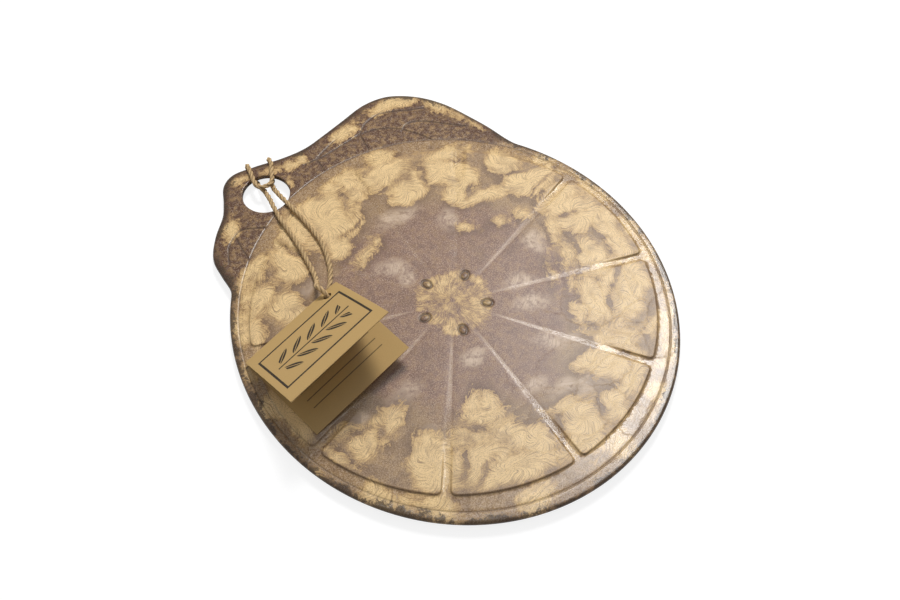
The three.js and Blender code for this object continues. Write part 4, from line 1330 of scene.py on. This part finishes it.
def soft_box(name, place, size, power):
    """A square area light at a place, aimed at the middle of the board."""
    light = bpy.data.lights.new(name, "AREA")
    light.size = size
    light.energy = power
    lamp = bpy.data.objects.new(name, light)
    lamp.location = place
    lamp.rotation_mode = "QUATERNION"
    lamp.rotation_quaternion = (-Vector(place)).to_track_quat("-Z", "Y")
    bpy.context.scene.collection.objects.link(lamp)
    return lamp


# Operators


class SERVINGBOARD_OT_stage(bpy.types.Operator):
    """Make the camera, the lights, the sky and the floor"""
    bl_idname = "servingboard.stage"
    bl_label = "Stage"

    def execute(self, context):
        scene = context.scene
        settings = scene.stage_settings
        scene.view_settings.view_transform = "Standard"
        a, e = settings.azimuth, settings.elevation
        back = Vector((math.sin(a) * math.cos(e), -math.cos(a) * math.cos(e), math.sin(e)))
        right = Vector((math.cos(a), math.sin(a), 0))
        far = Vector((-math.sin(a), math.cos(a), 0))
        key_place, sheen_place, sky_lean = [
            right * across + far * beyond + Vector((0, 0, above))
            for across, beyond, above in (KEY_PLACE, SHEEN_PLACE, SKY_LEAN)]

        camera = bpy.data.objects.new("camera", bpy.data.cameras.new("camera"))
        camera.data.sensor_width = SENSOR_WIDTH
        camera.data.lens = settings.lens
        camera.data.clip_start = 0.01
        shift = right * CAMERA_SHIFT[0] + back.cross(right) * CAMERA_SHIFT[1]
        camera.location = Vector((0, 0, SEGMENT_TOP * MM)) + shift * MM + back * settings.distance
        camera.rotation_mode = "QUATERNION"
        camera.rotation_quaternion = (-back).to_track_quat("-Z", "Y")
        scene.collection.objects.link(camera)
        scene.camera = camera

        key = soft_box("key_soft_box", key_place, KEY_SIZE, settings.key_power)
        key.visible_glossy = False
        sheen = soft_box("sheen_soft_box", sheen_place, SHEEN_SIZE, settings.sheen_power)
        sheen.visible_diffuse = False
        scene.world = bpy.data.worlds.new("soft_studio")
        node = node_maker(scene.world)
        seen = node("LightPath", output="Is Camera Ray")
        towards = node("TexCoord", output="Generated")
        above = node("VectorMath", towards, sky_lean, output="Value", operation="DOT_PRODUCT")
        glow = node("MapRange", above, SKY_START, 1.0, *SKY_GLOW)
        strength = node("Mix", inputs={0: seen, 2: glow, 3: 1.0})
        sky = node("Background", inputs={"Color": (1, 1, 1, 1), "Strength": strength})
        node("OutputWorld", sky)

        corners = np.array([[-1, -1], [1, -1], [1, 1], [-1, 1]]) * FLOOR_REACH
        corners = np.column_stack([corners, np.full(4, -FLOOR_GAP)])
        faces = triangles_of([[0, 1, 2, 3]])
        floor = new_piece("studio_floor", corners, faces, floor_material(settings), {})
        return {"FINISHED"}


class SERVINGBOARD_OT_twine(bpy.types.Operator):
    """Make the hitch, the two legs and the knot of the twine"""
    bl_idname = "servingboard.twine"
    bl_label = "Twine"

    def execute(self, context):
        scene = context.scene
        plan = BoardPlan(scene.board_settings)
        settings = scene.twine_settings
        radius = PLY_SPREAD * settings.diameter / 2 / MM
        lay = settings.lay / MM
        material = jute_material(settings)
        left, hitch, right = [resampled(spline(route), TWINE_STEP) for route in twine_places(plan)]
        # Each length's name, line and node, the seed of its hairs and its points without any at the end
        pieces = [
            ("twine_hitch", hitch, "cord_hitch", 11, 0),
            ("twine_leg_left", left, "cord_leg_left", 12, 75),
            ("twine_leg_right", right, "cord_leg_right", 13, 20)]
        for name, line, node, seed, bare in pieces:
            piece = twine_piece(name, line, radius, lay, material, HAIRS_PER_MM, seed, bare)
            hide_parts(node)
        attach(bpy.data.objects["twine_hitch"], "board")
        knot = twine_piece("twine_knot", knot_line(), KNOT_TWINE_RADIUS, lay * KNOT_LAY, material,
                           KNOT_HAIRS_PER_MM, 14)
        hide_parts("cord_knot")
        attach(knot, "cord_legs")
        for name, line in (("twine_leg_left", left), ("twine_leg_right", right)):
            leg = bpy.data.objects[name]
            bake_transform(leg)
        return {"FINISHED"}


class SERVINGBOARD_OT_board(bpy.types.Operator):
    """Make the moulded board with its marbled finish"""
    bl_idname = "servingboard.board"
    bl_label = "Board"

    def execute(self, context):
        settings = context.scene.board_settings
        plan = BoardPlan(settings)
        vertices, faces = board_mesh(plan)
        piece = new_piece("moulded_board", vertices, faces, composite_material(settings),
                          board_attributes(plan, vertices))
        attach(piece, "board")
        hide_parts("board")
        return {"FINISHED"}


class SERVINGBOARD_OT_tag(bpy.types.Operator):
    """Make the folded card tag"""
    bl_idname = "servingboard.tag"
    bl_label = "Tag"

    def execute(self, context):
        settings = context.scene.tag_settings
        vertices, faces, card = card_mesh(settings)
        piece = new_piece("folded_card", vertices, faces, kraft_material(settings), {"card": card})
        piece.data.set_sharp_from_angle(angle=math.radians(40))
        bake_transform(piece)
        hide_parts("tag_back_leaf", "tag_front_leaf")
        return {"FINISHED"}


class SERVINGBOARD_PT_panel(bpy.types.Panel):
    """The serving board's steps and settings"""
    bl_idname = "SERVINGBOARD_PT_panel"
    bl_label = "Serving board"
    bl_space_type = "VIEW_3D"
    bl_region_type = "UI"
    bl_category = "Serving board"

    def draw(self, context):
        for operator in OPERATORS:
            self.layout.operator(operator.bl_idname)
        for group in SETTINGS:
            box = self.layout.box()
            for key in SETTINGS[group].__annotations__:
                box.prop(getattr(context.scene, group), key)


SETTINGS = {
    "board_settings": BoardSettings, "twine_settings": TwineSettings,
    "tag_settings": TagSettings, "stage_settings": StageSettings,
}
OPERATORS = [SERVINGBOARD_OT_stage, SERVINGBOARD_OT_twine, SERVINGBOARD_OT_board, SERVINGBOARD_OT_tag]


def register():
    """Register the classes and give the scene its settings."""
    for made in [*SETTINGS.values(), *OPERATORS, SERVINGBOARD_PT_panel]:
        bpy.utils.register_class(made)
    for group, made in SETTINGS.items():
        setattr(bpy.types.Scene, group, bpy.props.PointerProperty(type=made))


def unregister():
    """Take the settings and classes away again."""
    for group in SETTINGS:
        delattr(bpy.types.Scene, group)
    for made in reversed([*SETTINGS.values(), *OPERATORS, SERVINGBOARD_PT_panel]):
        bpy.utils.unregister_class(made)


def main():
    """Build everything."""
    register()
    bpy.ops.servingboard.stage()
    bpy.ops.servingboard.twine()
    bpy.ops.servingboard.board()
    bpy.ops.servingboard.tag()


if __name__ == "__main__":
    main()
